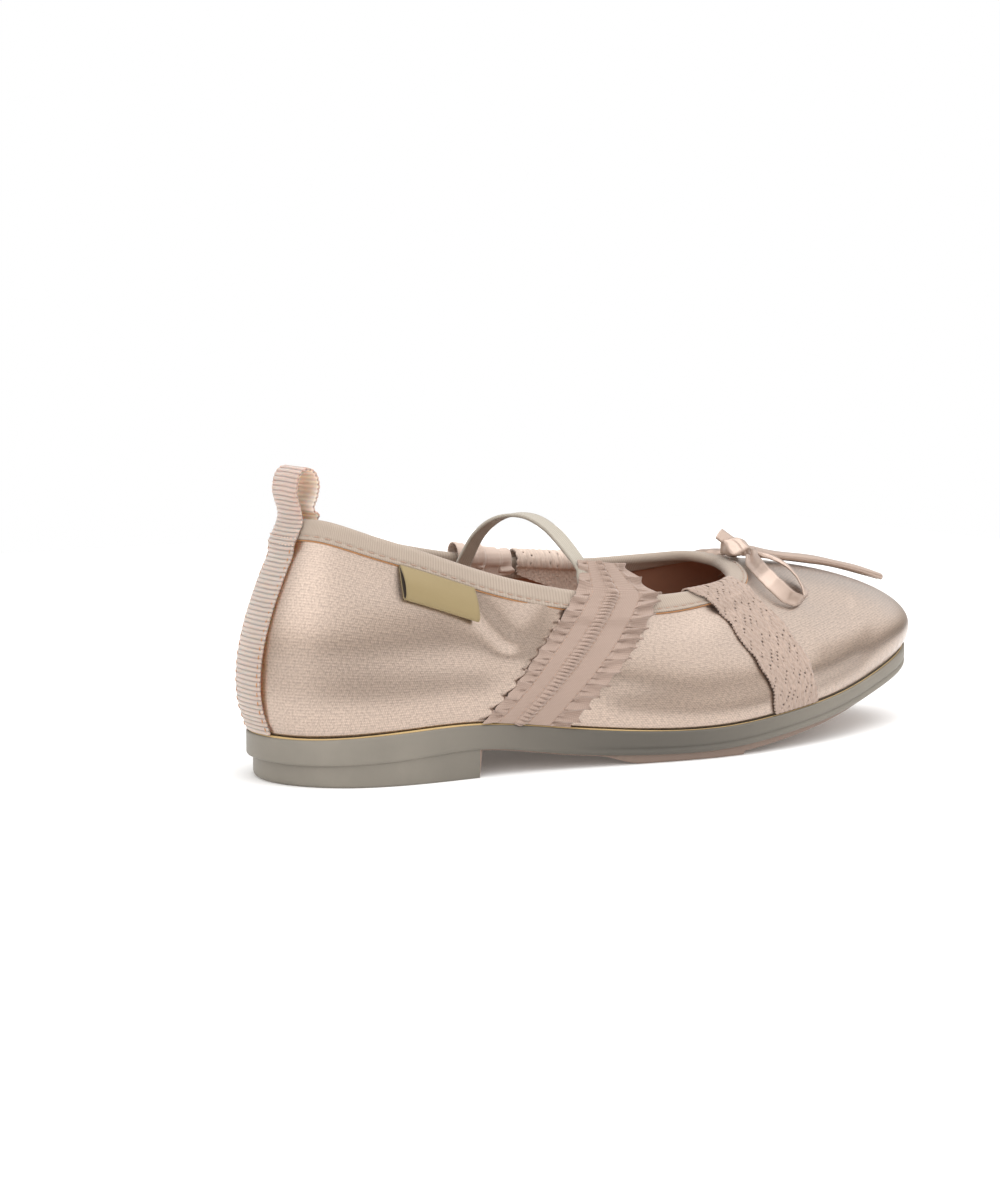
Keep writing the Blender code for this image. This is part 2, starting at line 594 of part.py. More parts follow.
# Middle line of the elastic between the ruffled bands, from the lateral to the medial side, and how far its
# front edge dips below its rear edge. Its lateral end lies on the inner face of the band's top, its medial
# end on the band's fold inside the collar.
Arch = namedtuple("Arch", "x y z dip")
ELASTIC_ARCH = (Arch(100.9, -17.5, 70.8, 0.2), Arch(99.0, -12.0, 74.9, 0.2), Arch(96.9, -5.5, 77.5, 0.0),
                Arch(93.9, 1.0, 77.8, -0.3), Arch(91.0, 7.0, 75.8, -0.6), Arch(89.0, 13.0, 71.3, -0.8),
                Arch(87.9, 17.4, 65.8, -0.8))
LATERAL_FOOT_X = 103.2
LATERAL_FOOT_ABOVE = (3.0, 6.2, 9.2)
MEDIAL_FOOT_X = 87.3
MEDIAL_FOOT_DEPTHS = (3.0, 9.0)
MEDIAL_FOOT_LIFT = 3.9


def make_elastic():
    """Narrow elastic that springs from inside one ruffled band to inside the other."""
    clear = OVER_BINDING - GAP - ELASTIC_THICK / 2.0
    wide = np.array([-0.5, 0.0, 0.5]) * ELASTIC_WIDTH
    point, normal, _, _ = on_wall(LATERAL, 1.0, np.array(LATERAL_FOOT_ABOVE)[:, None], LATERAL_FOOT_X + wide)
    lateral = point + normal * clear
    angle = angle_at(MEDIAL, MEDIAL_FOOT_X + wide, np.ones(len(wide)))
    medial = rim(angle, CROWN + np.array(MEDIAL_FOOT_DEPTHS)[:, None], MEDIAL_FOOT_LIFT)
    table = np.array(ELASTIC_ARCH)[:, None, :]
    tilt = table[..., 3] * wide / ELASTIC_WIDTH
    arch = table[..., :3] + np.stack([wide + 0.0 * tilt, 0.0 * tilt, -tilt], -1)
    sheet = np.concatenate([lateral, arch, medial])
    lines = [smooth_path(sheet[:, k], 24) for k in range(len(wide))]
    ribbon("instep_elastic", np.stack(lines, axis=1), ELASTIC_THICK, ELASTIC_BEIGE, 0.85)


LABEL_ENDS = (37.2, 61.0)  # distances from the back of the sole
# Section of the folded label: distance below the collar's edge and height off the wall, once around.
Corner = namedtuple("Corner", "depth lift")
LABEL_SECTION = (Corner(6.9, 0.3), Corner(15.6, 0.3), Corner(16.8, 1.0), Corner(16.8, 2.3), Corner(15.6, 3.0),
                 Corner(6.9, 1.9), Corner(6.9, 1.4), Corner(15.4, 2.5), Corner(16.2, 2.0), Corner(16.2, 1.3),
                 Corner(15.4, 0.8), Corner(6.9, 0.8))


def make_label():
    """Small folded label with a blank face, caught under the binding."""
    x, corner = np.meshgrid(np.linspace(*LABEL_ENDS, 7), np.arange(len(LABEL_SECTION)), indexing="ij")
    table = np.array(LABEL_SECTION)
    angle = angle_at(LATERAL, x, 1.0 - table[corner, 0] / WALL_RUN)
    sweep("side_label", rim(angle, -table[corner, 0], table[corner, 1]), LABEL_GOLD, 0.7)


def vamp(x, y):
    """Points on the upper above plan points, and the normals there."""
    angles = np.linspace(1.2, FULL_TURN - 1.2, 400)
    angle, rise = np.meshgrid(angles, np.linspace(0.3, 1.0, 200), indexing="ij")
    surface = last(angle, rise)
    points = np.empty((len(x), 3))
    normals = np.empty((len(x), 3))
    for k in range(len(x)):
        distance = np.hypot(surface[..., 0] - x[k], surface[..., 1] - y[k])
        i = np.unravel_index(np.argmin(distance), distance.shape)
        points[k] = surface[i]
        normals[k] = last_normal(angle[i], rise[i])
    return points, normals


# Bow, tied from a folded satin ribbon. A loop's lower edge is given from the knot around and back: x,
# distance out from the knot's middle line, height off the upper, and the ribbon's width there as a fraction.
Turn = namedtuple("Turn", "x out lift width")
BOW_LINE = 2.5            # y of the knot's middle
BOW_WIDTH = 6.3
BOW_THICK = 0.9
# From a loop's lower edge to its upper edge: forward, towards the knot, up. The medial loop lies flatter.
BOW_LEAN = (0.85, 0.08, 0.52)
BOW_LEAN_MEDIAL = (0.95, 0.10, 0.12)
LOOP = (Turn(184.6, 5.9, 3.6, 0.5), Turn(181.2, 10.8, 2.3, 0.85), Turn(178.6, 17.5, 2.0, 1.0),
        Turn(178.2, 23.2, 2.0, 1.0), Turn(180.2, 26.8, 1.6, 1.0), Turn(183.5, 28.4, 1.1, 1.0),
        Turn(187.4, 28.2, 0.9, 1.0), Turn(190.6, 26.6, 0.9, 1.0), Turn(191.8, 23.2, 0.9, 1.0),
        Turn(190.9, 19.4, 1.0, 1.0), Turn(189.6, 15.6, 1.2, 0.95), Turn(188.3, 11.0, 1.9, 0.8),
        Turn(187.2, 6.4, 3.4, 0.5))
KNOT = (186.2, 2.6, 62.6)
KNOT_SIZE = (4.0, 5.0, 3.8)
# Middle line of the tail over the vamp.
TAIL = ((191.2, 3.2, 60.6), (200.6, 3.4, 58.7), (213.8, 3.6, 56.9), (224.0, 3.8, 55.2), (236.3, 4.0, 52.4),
        (245.5, 4.2, 49.9), (252.0, 4.4, 48.0))
TAIL_ACROSS = (0.0, 0.86, 0.27)
# Short end beside the knot.
END = ((181.9, 7.2, 65.0), (182.0, 8.2, 66.7), (182.3, 9.2, 68.3))
END_ACROSS = (0.68, 0.08, -0.32)


def bow_loop(name, side, toward):
    """One loop of the bow, lying over its side of the throat and leaning as given."""
    table = smooth_path([(turn.x, turn.out, turn.lift, turn.width) for turn in LOOP], 26)
    points, normals = vamp(table[:, 0], BOW_LINE + side * table[:, 1])
    lower = points + normals * table[:, 2:3]
    lean = np.array([toward[0], -side * toward[1], toward[2]]) * BOW_WIDTH
    ribbon(name, np.stack([lower, lower + lean * table[:, 3:4]], axis=1), BOW_THICK, SATIN, 0.35)


def make_bow():
    """Knot on the binding at the throat, a loop to each side, a long tail and a short one."""
    bow_loop("bow_loop_lateral", LATERAL, BOW_LEAN)
    bow_loop("bow_loop_medial", MEDIAL, BOW_LEAN_MEDIAL)
    bm = bmesh.new()
    bmesh.ops.create_uvsphere(bm, u_segments=12, v_segments=8, radius=1.0)
    points = [[KNOT[k] + vert.co[k] * KNOT_SIZE[k] for k in range(3)] for vert in bm.verts]
    faces = [[vert.index for vert in face.verts] for face in bm.faces]
    bm.free()
    mesh_object("bow_knot", points, faces, SATIN, 0.35)
    middle = smooth_path(TAIL, 14)[:, None, :]
    wide = np.array([-0.5, 0.0, 0.5])[None, :, None] * BOW_WIDTH
    ribbon("bow_tail_front", middle + wide * np.array(TAIL_ACROSS), 1.5 * BOW_THICK, SATIN, 0.35)
    middle = smooth_path(END, 4)[:, None, :]
    ribbon("bow_tail_back", middle + wide * np.array(END_ACROSS), 1.2 * BOW_THICK, SATIN, 0.35)


def main():
    for item in list(bpy.data.objects):
        bpy.data.objects.remove(item, do_unlink=True)
    make_outsole()
    make_insole()
    make_upper()
    make_binding()
    make_heel_ribbon()
    make_ruffle("ruffle_lateral", LATERAL, RUFFLE_LATERAL, 35)
    make_ruffle("ruffle_medial", MEDIAL, RUFFLE_MEDIAL, 28, RUFFLE_FOLD)
    make_lace("lace_lateral", LATERAL, LACE_LATERAL, LACE_FOLD)
    make_lace("lace_medial", MEDIAL, LACE_MEDIAL, LACE_FOLD_MEDIAL)
    make_elastic()
    make_label()
    make_bow()


main()
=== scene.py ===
"""Looks of the right ballet flat: satin, tape, ruffle, lace, ribbon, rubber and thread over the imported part.

Frame: +X heel to toe, +Y to the inner (medial) side, +Z up. The shoe's own sizes are in millimetres, with
lengths measured from the back of the sole; to_metres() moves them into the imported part's frame.
"""
import logging
import math
from collections.abc import Callable, Sequence
from dataclasses import dataclass
from enum import Enum

import bmesh
import bpy
import numpy as np
from mathutils import Matrix, Vector

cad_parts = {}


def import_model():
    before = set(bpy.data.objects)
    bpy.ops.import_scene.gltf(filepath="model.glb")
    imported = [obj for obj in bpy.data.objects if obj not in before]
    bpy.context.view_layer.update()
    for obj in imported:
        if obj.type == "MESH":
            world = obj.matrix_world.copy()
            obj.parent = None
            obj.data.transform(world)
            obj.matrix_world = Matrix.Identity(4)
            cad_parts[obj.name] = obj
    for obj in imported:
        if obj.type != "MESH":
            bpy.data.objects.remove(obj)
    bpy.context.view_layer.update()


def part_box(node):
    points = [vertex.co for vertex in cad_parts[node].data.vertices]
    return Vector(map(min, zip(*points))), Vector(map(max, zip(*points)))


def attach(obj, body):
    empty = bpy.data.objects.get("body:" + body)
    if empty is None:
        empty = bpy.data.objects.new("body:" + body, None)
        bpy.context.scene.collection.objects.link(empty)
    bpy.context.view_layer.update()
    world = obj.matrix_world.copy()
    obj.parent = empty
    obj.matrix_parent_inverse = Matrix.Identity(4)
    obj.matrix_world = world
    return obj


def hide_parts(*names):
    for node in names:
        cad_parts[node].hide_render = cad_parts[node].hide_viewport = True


LOG = logging.getLogger("ballet_flat")
MM = 0.001
FULL_TURN = 2.0 * math.pi
WHITE = (1.0, 1.0, 1.0, 1.0)
Array = np.ndarray


class Side(Enum):
    """Side of this right shoe."""

    LATERAL = -1
    MEDIAL = 1


class Slot(Enum):
    """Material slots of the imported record."""

    OUTSOLE = "outsole"
    INSOLE = "insole"
    UPPER = "upper"
    BINDING = "collar_binding"
    HEEL_RIBBON = "heel_ribbon"
    RUFFLE = "ruffle"
    LACE = "lace"
    ELASTIC = "instep_elastic"
    LABEL = "side_label"
    BOW = "bow"


@dataclass(frozen=True)
class SoleRow:
    """Section of the sole: station along it, half widths, and the side band's edges, as fractions."""

    station: float
    lateral: float
    medial: float
    top: float
    low: float


@dataclass(frozen=True)
class WallRow:
    """Section of the wall: the collar's edge on both sides, then the bulges near the sole and the edge."""

    station: float
    along: float
    lat_out: float
    lat_up: float
    med_out: float
    med_up: float
    belly: float
    rise: float
    shoulder: float
    drop: float


SOLE_ROWS = (
    SoleRow(0.00, 0.000, 0.000, 0.187, 0.091),
    SoleRow(0.03, 0.212, 0.206, 0.185, 0.086),
    SoleRow(0.08, 0.319, 0.310, 0.193, 0.089),
    SoleRow(0.16, 0.373, 0.360, 0.207, 0.101),
    SoleRow(0.26, 0.379, 0.341, 0.206, 0.109),
    SoleRow(0.36, 0.402, 0.321, 0.167, 0.064),
    SoleRow(0.47, 0.469, 0.366, 0.133, 0.037),
    SoleRow(0.58, 0.512, 0.449, 0.127, 0.037),
    SoleRow(0.68, 0.490, 0.488, 0.152, 0.066),
    SoleRow(0.78, 0.424, 0.471, 0.189, 0.108),
    SoleRow(0.87, 0.331, 0.419, 0.246, 0.168),
    SoleRow(0.94, 0.238, 0.337, 0.309, 0.226),
    SoleRow(0.98, 0.122, 0.238, 0.340, 0.259),
    SoleRow(1.00, -0.058, 0.058, 0.354, 0.277),
)

WALL_ROWS = (
    WallRow(0.00, 0.053, 0.000, 0.990, 0.000, 0.990, 0.116, 0.264, 0.088, 0.220),
    WallRow(0.03, 0.074, 0.157, 0.990, 0.151, 0.988, 0.105, 0.264, 0.074, 0.214),
    WallRow(0.08, 0.118, 0.242, 0.938, 0.230, 0.945, 0.081, 0.252, 0.066, 0.201),
    WallRow(0.16, 0.184, 0.298, 0.866, 0.284, 0.890, 0.064, 0.226, 0.058, 0.189),
    WallRow(0.26, 0.271, 0.326, 0.771, 0.305, 0.825, 0.058, 0.214, 0.052, 0.176),
    WallRow(0.36, 0.361, 0.337, 0.701, 0.314, 0.775, 0.052, 0.189, 0.052, 0.164),
    WallRow(0.47, 0.455, 0.329, 0.654, 0.316, 0.744, 0.052, 0.176, 0.056, 0.138),
    WallRow(0.58, 0.537, 0.305, 0.641, 0.302, 0.731, 0.052, 0.176, 0.070, 0.101),
    WallRow(0.68, 0.602, 0.276, 0.653, 0.273, 0.738, 0.052, 0.182, 0.093, 0.070),
    WallRow(0.78, 0.649, 0.220, 0.669, 0.238, 0.747, 0.058, 0.189, 0.151, 0.044),
    WallRow(0.87, 0.680, 0.128, 0.690, 0.196, 0.752, 0.081, 0.182, 0.256, 0.019),
    WallRow(0.94, 0.693, 0.051, 0.707, 0.130, 0.746, 0.124, 0.176, 0.372, 0.006),
    WallRow(0.98, 0.698, 0.010, 0.717, 0.072, 0.738, 0.163, 0.170, 0.465, 0.000),
    WallRow(1.00, 0.700, -0.030, 0.727, 0.030, 0.727, 0.188, 0.164, 0.511, -0.003),
)


def unit(vectors: Array) -> Array:
    """Vectors scaled to length one.

    Args:
        vectors: Any array whose last axis holds the components.

    Returns:
        The array with each vector at length one.
    """
    return vectors / np.maximum(np.linalg.norm(vectors, axis=-1, keepdims=True), 1e-12)


def ease(value: Array | float, low: float, high: float) -> Array:
    """Smooth step from 0 at low to 1 at high.

    Args:
        value: Where to read it.
        low: Start of the step.
        high: End of the step.

    Returns:
        Values from 0 to 1.
    """
    t = np.clip((value - low) / (high - low), 0.0, 1.0)
    return t * t * (3.0 - 2.0 * t)


def bell(value: Array, middle: float, width: float) -> Array:
    """Soft bump of height one.

    Args:
        value: Where to read it.
        middle: Its middle.
        width: Its half width.

    Returns:
        Values from 0 to 1.
    """
    return np.exp(-((value - middle) / width) ** 2)


def distances(points: Array) -> Array:
    """Distance of each point of a path from its start, along the path.

    Args:
        points: Points in order.

    Returns:
        Rising distances from 0.
    """
    return np.append(0.0, np.cumsum(np.linalg.norm(np.diff(points, axis=0), axis=1)))


def sheet_normals(sheet: Array) -> Array:
    """Unit normals of a sheet.

    Args:
        sheet: Grid of points.

    Returns:
        Grid of unit vectors.
    """
    return unit(np.cross(np.gradient(sheet, axis=0), np.gradient(sheet, axis=1)))


def smooth_path(points: Sequence[Sequence[float]] | Array, count: int) -> Array:
    """Evenly spread points of a smooth curve through the given ones.

    Args:
        points: Points, with any number of values each.
        count: How many points to return.

    Returns:
        Array of count rows.
    """
    points = np.asarray(points, float)
    ends = np.concatenate([[2.0 * points[0] - points[1]], points, [2.0 * points[-1] - points[-2]]])
    t = np.linspace(0.0, 1.0, 16, endpoint=False)[:, None]
    pieces = [0.5 * (2.0 * b + (c - a) * t + (2.0 * a - 5.0 * b + 4.0 * c - d) * t ** 2
                     + (3.0 * b - a - 3.0 * c + d) * t ** 3)
              for a, b, c, d in zip(ends, ends[1:], ends[2:], ends[3:])]
    fine = np.concatenate([*pieces, points[-1:]])
    run = distances(fine[:, :3])
    wanted = np.linspace(0.0, run[-1], count)
    return np.stack([np.interp(wanted, run, column) for column in fine.T], -1)


class ClosedSpline:
    """Smooth closed curve through values given at angles around the shoe."""

    def __init__(self, angles: Sequence[float], values: Sequence[Sequence[float]]) -> None:
        """Solves the spline's second derivatives.

        Args:
            angles: Rising angles in one full turn.
            values: Values at the angles.
        """
        self.angles = np.asarray(angles, float)
        self.values = np.asarray(values, float)
        count = len(self.angles)
        self.steps = np.diff(np.append(self.angles, self.angles[0] + FULL_TURN))
        slopes = (np.roll(self.values, -1, 0) - self.values) / self.steps[:, None]
        system = np.zeros((count, count))
        for i in range(count):
            before, after = self.steps[i - 1], self.steps[i]
            system[i, i - 1] += before
            system[i, i] += 2.0 * (before + after)
            system[i, (i + 1) % count] += after
        self.bends = np.linalg.solve(system, 6.0 * (slopes - np.roll(slopes, 1, 0)))

    def __call__(self, angle: Array) -> Array:
        """Values at some angles.

        Args:
            angle: Angles around the shoe.

        Returns:
            Values, on a new last axis.
        """
        angle = np.mod(angle, FULL_TURN)
        i = np.searchsorted(self.angles, angle, side="right") - 1
        after = (i + 1) % len(self.angles)
        step = self.steps[i][..., None]
        t = (angle - self.angles[i])[..., None]
        r = step - t
        return ((self.bends[i] * r ** 3 + self.bends[after] * t ** 3) / (6.0 * step)
                + (self.values[i] / step - self.bends[i] * step / 6.0) * r
                + (self.values[after] / step - self.bends[after] * step / 6.0) * t)


def around(rows: Sequence, lateral: Callable, medial: Callable) -> ClosedSpline:
    """Closed spline through table rows: back, lateral side, toe, medial side.

    Args:
        rows: Sections from the back to the toe.
        lateral: Values of a row on the lateral side.
        medial: Values of a row on the medial side.

    Returns:
        The spline.
    """
    turn = [math.acos(1.0 - 2.0 * row.station) for row in rows]
    angles = turn + [FULL_TURN - angle for angle in turn[-2:0:-1]]
    values = [lateral(row) for row in rows] + [medial(row) for row in rows[-2:0:-1]]
    return ClosedSpline(angles, values)


@dataclass
class Last:
    """The shoe's form: angles run around it from the back over the lateral side, rise from sole to collar."""

    length: float
    heel_rest: float
    ball_width: float = 86.0
    back_height: float = 79.5
    wall: float = 1.6
    gap: float = 0.3
    feather: float = 1.4
    crown: float = 3.0
    wall_run: float = 55.0
    over_binding: float = 1.45
    bind_outside: float = 6.4
    deepest: float = 90.0

    def __post_init__(self) -> None:
        """Builds the two splines from their tables, and charts the wall."""
        wide, high = self.ball_width, self.back_height

        def shape(row: WallRow) -> tuple[float, ...]:
            """Bulge values of a wall section in millimetres."""
            return row.belly * wide, row.rise * high, row.shoulder * wide, row.drop * high

        self.sole_curve = around(
            SOLE_ROWS,
            lambda row: (-row.lateral * wide, row.top * high, row.low * high),
            lambda row: (row.medial * wide, row.top * high, row.low * high))
        self.wall_curve = around(
            WALL_ROWS,
            lambda row: (row.along * self.length, -row.lat_out * wide, row.lat_up * high, *shape(row)),
            lambda row: (row.along * self.length, row.med_out * wide, row.med_up * high, *shape(row)))
        self.chart_depths()

    def to_metres(self, points: Array) -> Array:
        """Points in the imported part's frame.

        Args:
            points: Points in millimetres from the back of the sole.

        Returns:
            Points in metres from the frame's origin.
        """
        return (np.asarray(points) - np.array([self.heel_rest, 0.0, 0.0])) * MM

    def length_at(self, angle: Array) -> Array:
        """Distance from the back of the sole at angles around its edge.

        Args:
            angle: Angles around the shoe.

        Returns:
            Distances in millimetres.
        """
        return self.length * (1.0 - np.cos(angle)) / 2.0

    def sole_edge(self, angle: Array, inset: Array | float = 0.0) -> Array:
        """Plan outline of the sole, moved in by inset.

        Args:
            angle: Angles around the shoe.
            inset: Distance in from the outline.

        Returns:
            Plan points.
        """
        step = 1e-3

        def outline(at: Array) -> Array:
            """Plan outline at these angles."""
            return np.stack([self.length_at(at), self.sole_curve(at)[..., 0]], -1)

        tangent = unit(outline(angle + step) - outline(angle - step))
        inward = np.stack([-tangent[..., 1], tangent[..., 0]], -1)
        return outline(angle) + inward * (np.zeros(np.shape(angle)) + inset)[..., None]

    def band_top(self, angle: Array) -> Array:
        """Height of the side band's upper edge at angles around the shoe."""
        return self.sole_curve(angle)[..., 1]

    def band_low(self, angle: Array) -> Array:
        """Height of the side band's lower edge at angles around the shoe."""
        return self.sole_curve(angle)[..., 2]

    def face(self, angle: Array, rise: Array | float) -> Array:
        """Outer face of the upper.

        Args:
            angle: Angles around the shoe.
            rise: 0 at the sole, 1 at the collar's edge.

        Returns:
            Points in millimetres.
        """
        angle, rise = np.broadcast_arrays(np.asarray(angle, float), np.asarray(rise, float))
        edge = self.sole_edge(angle, self.feather)
        outward = unit(self.sole_edge(angle) - self.sole_edge(angle, 1.0))
        top_x, top_y, top_z, belly, up, shoulder, drop = np.moveaxis(self.wall_curve(angle), -1, 0)
        foot = np.stack([edge[..., 0], edge[..., 1], self.band_top(angle) + self.gap], -1)
        collar = np.stack([top_x, top_y, top_z], -1)
        lean = unit(foot[..., :2] - collar[..., :2] + 6.0 * outward)
        low = foot + np.concatenate([outward * belly[..., None], up[..., None]], -1)
        high = collar + np.concatenate([lean * shoulder[..., None], -drop[..., None]], -1)
        t = rise[..., None]
        s = 1.0 - t
        return s ** 3 * foot + 3.0 * s * s * t * low + 3.0 * s * t * t * high + t ** 3 * collar

    def normal(self, angle: Array, rise: Array | float) -> Array:
        """Unit normals of the upper's outer face, pointing out of the shoe.

        Args:
            angle: Angles around the shoe.
            rise: 0 at the sole, 1 at the collar's edge.

        Returns:
            Unit vectors.
        """
        step = 1e-3
        rise = np.clip(rise, step, 1.0 - step)
        along = self.face(angle + step, rise) - self.face(angle - step, rise)
        up = self.face(angle, rise + step) - self.face(angle, rise - step)
        return unit(np.cross(along, up))

    def chart_depths(self) -> None:
        """Charts the wall's run below the collar's edge, to be read from rise to depth and back."""
        turns = np.linspace(0.0, FULL_TURN, 721)
        rises = np.linspace(0.0, 1.0, 61)
        points = self.face(*np.meshgrid(turns, rises, indexing="ij"))
        steps = np.linalg.norm(np.diff(points, axis=1), axis=-1)
        runs = np.cumsum(steps[:, ::-1], axis=1)[:, ::-1]
        self.depths = np.column_stack([runs, np.zeros(len(turns))])
        levels = np.linspace(0.0, self.deepest, 181)
        self.rises = np.array([np.interp(levels, row[::-1], rises[::-1]) for row in self.depths])

    def read(self, chart: Array, angle: Array, place: Array) -> Array:
        """Reads a chart of the wall.

        Args:
            chart: Values over a full turn, and over the second place from 0 to 1.
            angle: Angles around the shoe.
            place: Second places.

        Returns:
            Values.
        """
        row = np.mod(angle, FULL_TURN) / FULL_TURN * (chart.shape[0] - 1)
        column = np.clip(place, 0.0, 1.0) * (chart.shape[1] - 1)
        i = np.minimum(row.astype(int), chart.shape[0] - 2)
        j = np.minimum(column.astype(int), chart.shape[1] - 2)
        s, t = row - i, column - j
        return ((1.0 - s) * ((1.0 - t) * chart[i, j] + t * chart[i, j + 1])
                + s * ((1.0 - t) * chart[i + 1, j] + t * chart[i + 1, j + 1]))

    def depth_at(self, angle: Array, rise: Array) -> Array:
        """Distance below the collar's edge, along the wall.

        Args:
            angle: Angles around the shoe.
            rise: Places up the wall.

        Returns:
            Distances in millimetres.
        """
        angle, rise = np.broadcast_arrays(np.asarray(angle, float), rise)
        return self.read(self.depths, angle, rise)

    def rise_at(self, angle: Array, depth: Array) -> Array:
        """Rise of the points that lie depth millimetres below the collar's edge.

        Args:
            angle: Angles around the shoe.
            depth: Distances along the wall.

        Returns:
            Places up the wall.
        """
        angle, depth = np.broadcast_arrays(np.asarray(angle, float), np.asarray(depth, float))
        return self.read(self.rises, angle, depth / self.deepest)

    def angle_at(self, side: Side, x: Array, rise: Array) -> Array:
        """Angle on one side of the shoe where the wall at this rise reaches x.

        Args:
            side: Which side.
            x: Distances from the back of the sole.
            rise: Places up the wall.

        Returns:
            Angles around the shoe.
        """
        x, rise = np.broadcast_arrays(np.asarray(x, float), np.minimum(rise, 1.0))
        low, high = np.full(x.shape, 0.03), np.full(x.shape, math.pi - 0.03)
        for _ in range(22):
            middle = (low + high) / 2.0
            turn = FULL_TURN - middle if side is Side.MEDIAL else middle
            short = self.face(turn, rise)[..., 0] < x
            low, high = np.where(short, middle, low), np.where(short, high, middle)
        result = (low + high) / 2.0
        return FULL_TURN - result if side is Side.MEDIAL else result

    def angle_across(self, y: Array, rise: Array) -> Array:
        """Angle near the back seam at which the wall reaches y.

        Args:
            y: Distances from the middle plane.
            rise: Places up the wall.

        Returns:
            Angles around the shoe.
        """
        y, rise = np.broadcast_arrays(y, rise)
        low, high = np.full(y.shape, -0.9), np.full(y.shape, 0.9)
        for _ in range(20):
            middle = (low + high) / 2.0
            beyond = self.face(middle, rise)[..., 1] > y
            low, high = np.where(beyond, middle, low), np.where(beyond, high, middle)
        return (low + high) / 2.0

    def rim(self, angle: Array, run: Array | float, lift: Array | float) -> Array:
        """Points near the collar's edge, lift millimetres off the wall.

        Args:
            angle: Angles around the shoe.
            run: Along the wall: below zero outside, to crown over the edge, beyond it down the inside.
            lift: Distance off the wall.

        Returns:
            Points in millimetres.
        """
        angle, run, lift = np.broadcast_arrays(np.asarray(angle, float), run, lift)
        depth = np.where(run < 0.0, -run, np.maximum(run - self.crown, 0.0))
        rise = self.rise_at(angle, depth)
        point = self.face(angle, rise)
        normal = self.normal(angle, rise)
        turn = math.pi * np.clip(run / self.crown, 0.0, 1.0)[..., None]
        tangent = unit(self.face(angle, rise) - self.face(angle, rise - 0.01))
        middle = point - normal * self.wall / 2.0
        reach = self.wall / 2.0 + lift[..., None]
        return middle + reach * (normal * np.cos(turn) + tangent * np.sin(turn))

    def clearance(self, depth: Array) -> Array:
        """Height off the wall at which a trim passes over the collar's binding.

        Args:
            depth: Distances below the collar's edge.

        Returns:
            Heights in millimetres.
        """
        near = 1.0 - ease(depth, self.bind_outside + 0.4, self.bind_outside + 4.0)
        return self.gap + (self.over_binding - self.gap) * near

    def on_wall(self, side: Side, rise: Array, above: Array, x: Array) -> tuple[Array, Array, Array, Array]:
        """Places of a trim on one side of the shoe, and past the collar's edge.

        Args:
            side: Which side.
            rise: Places up the wall.
            above: Millimetres past the collar's edge.
            x: Distances from the back of the sole.

        Returns:
            Points on the wall, unit normals, clearances and angles.
        """
        rise, above, x = np.broadcast_arrays(rise, above, x)
        angle = self.angle_at(side, x, rise)
        normal = self.normal(angle, rise)
        tangent = unit(self.face(angle, rise) - self.face(angle, rise - 0.01))
        point = self.face(angle, rise) + tangent * above[..., None]
        return point, normal, self.clearance(self.depth_at(angle, rise)), angle

    def vamp(self, x: Array, y: Array) -> tuple[Array, Array]:
        """Points on the upper above plan points, and the normals there.

        Args:
            x: Distances from the back of the sole.
            y: Distances from the middle plane.

        Returns:
            Points and unit normals.
        """
        angles = np.linspace(1.2, FULL_TURN - 1.2, 400)
        angle, rise = np.meshgrid(angles, np.linspace(0.3, 1.0, 200), indexing="ij")
        surface = self.face(angle, rise)
        nearest = [np.unravel_index(np.argmin(np.hypot(surface[..., 0] - a, surface[..., 1] - b)),
                                    angle.shape) for a, b in zip(x, y)]
        points = np.array([surface[at] for at in nearest])
        normals = np.array([self.normal(angle[at], rise[at]) for at in nearest])
        return points, normals


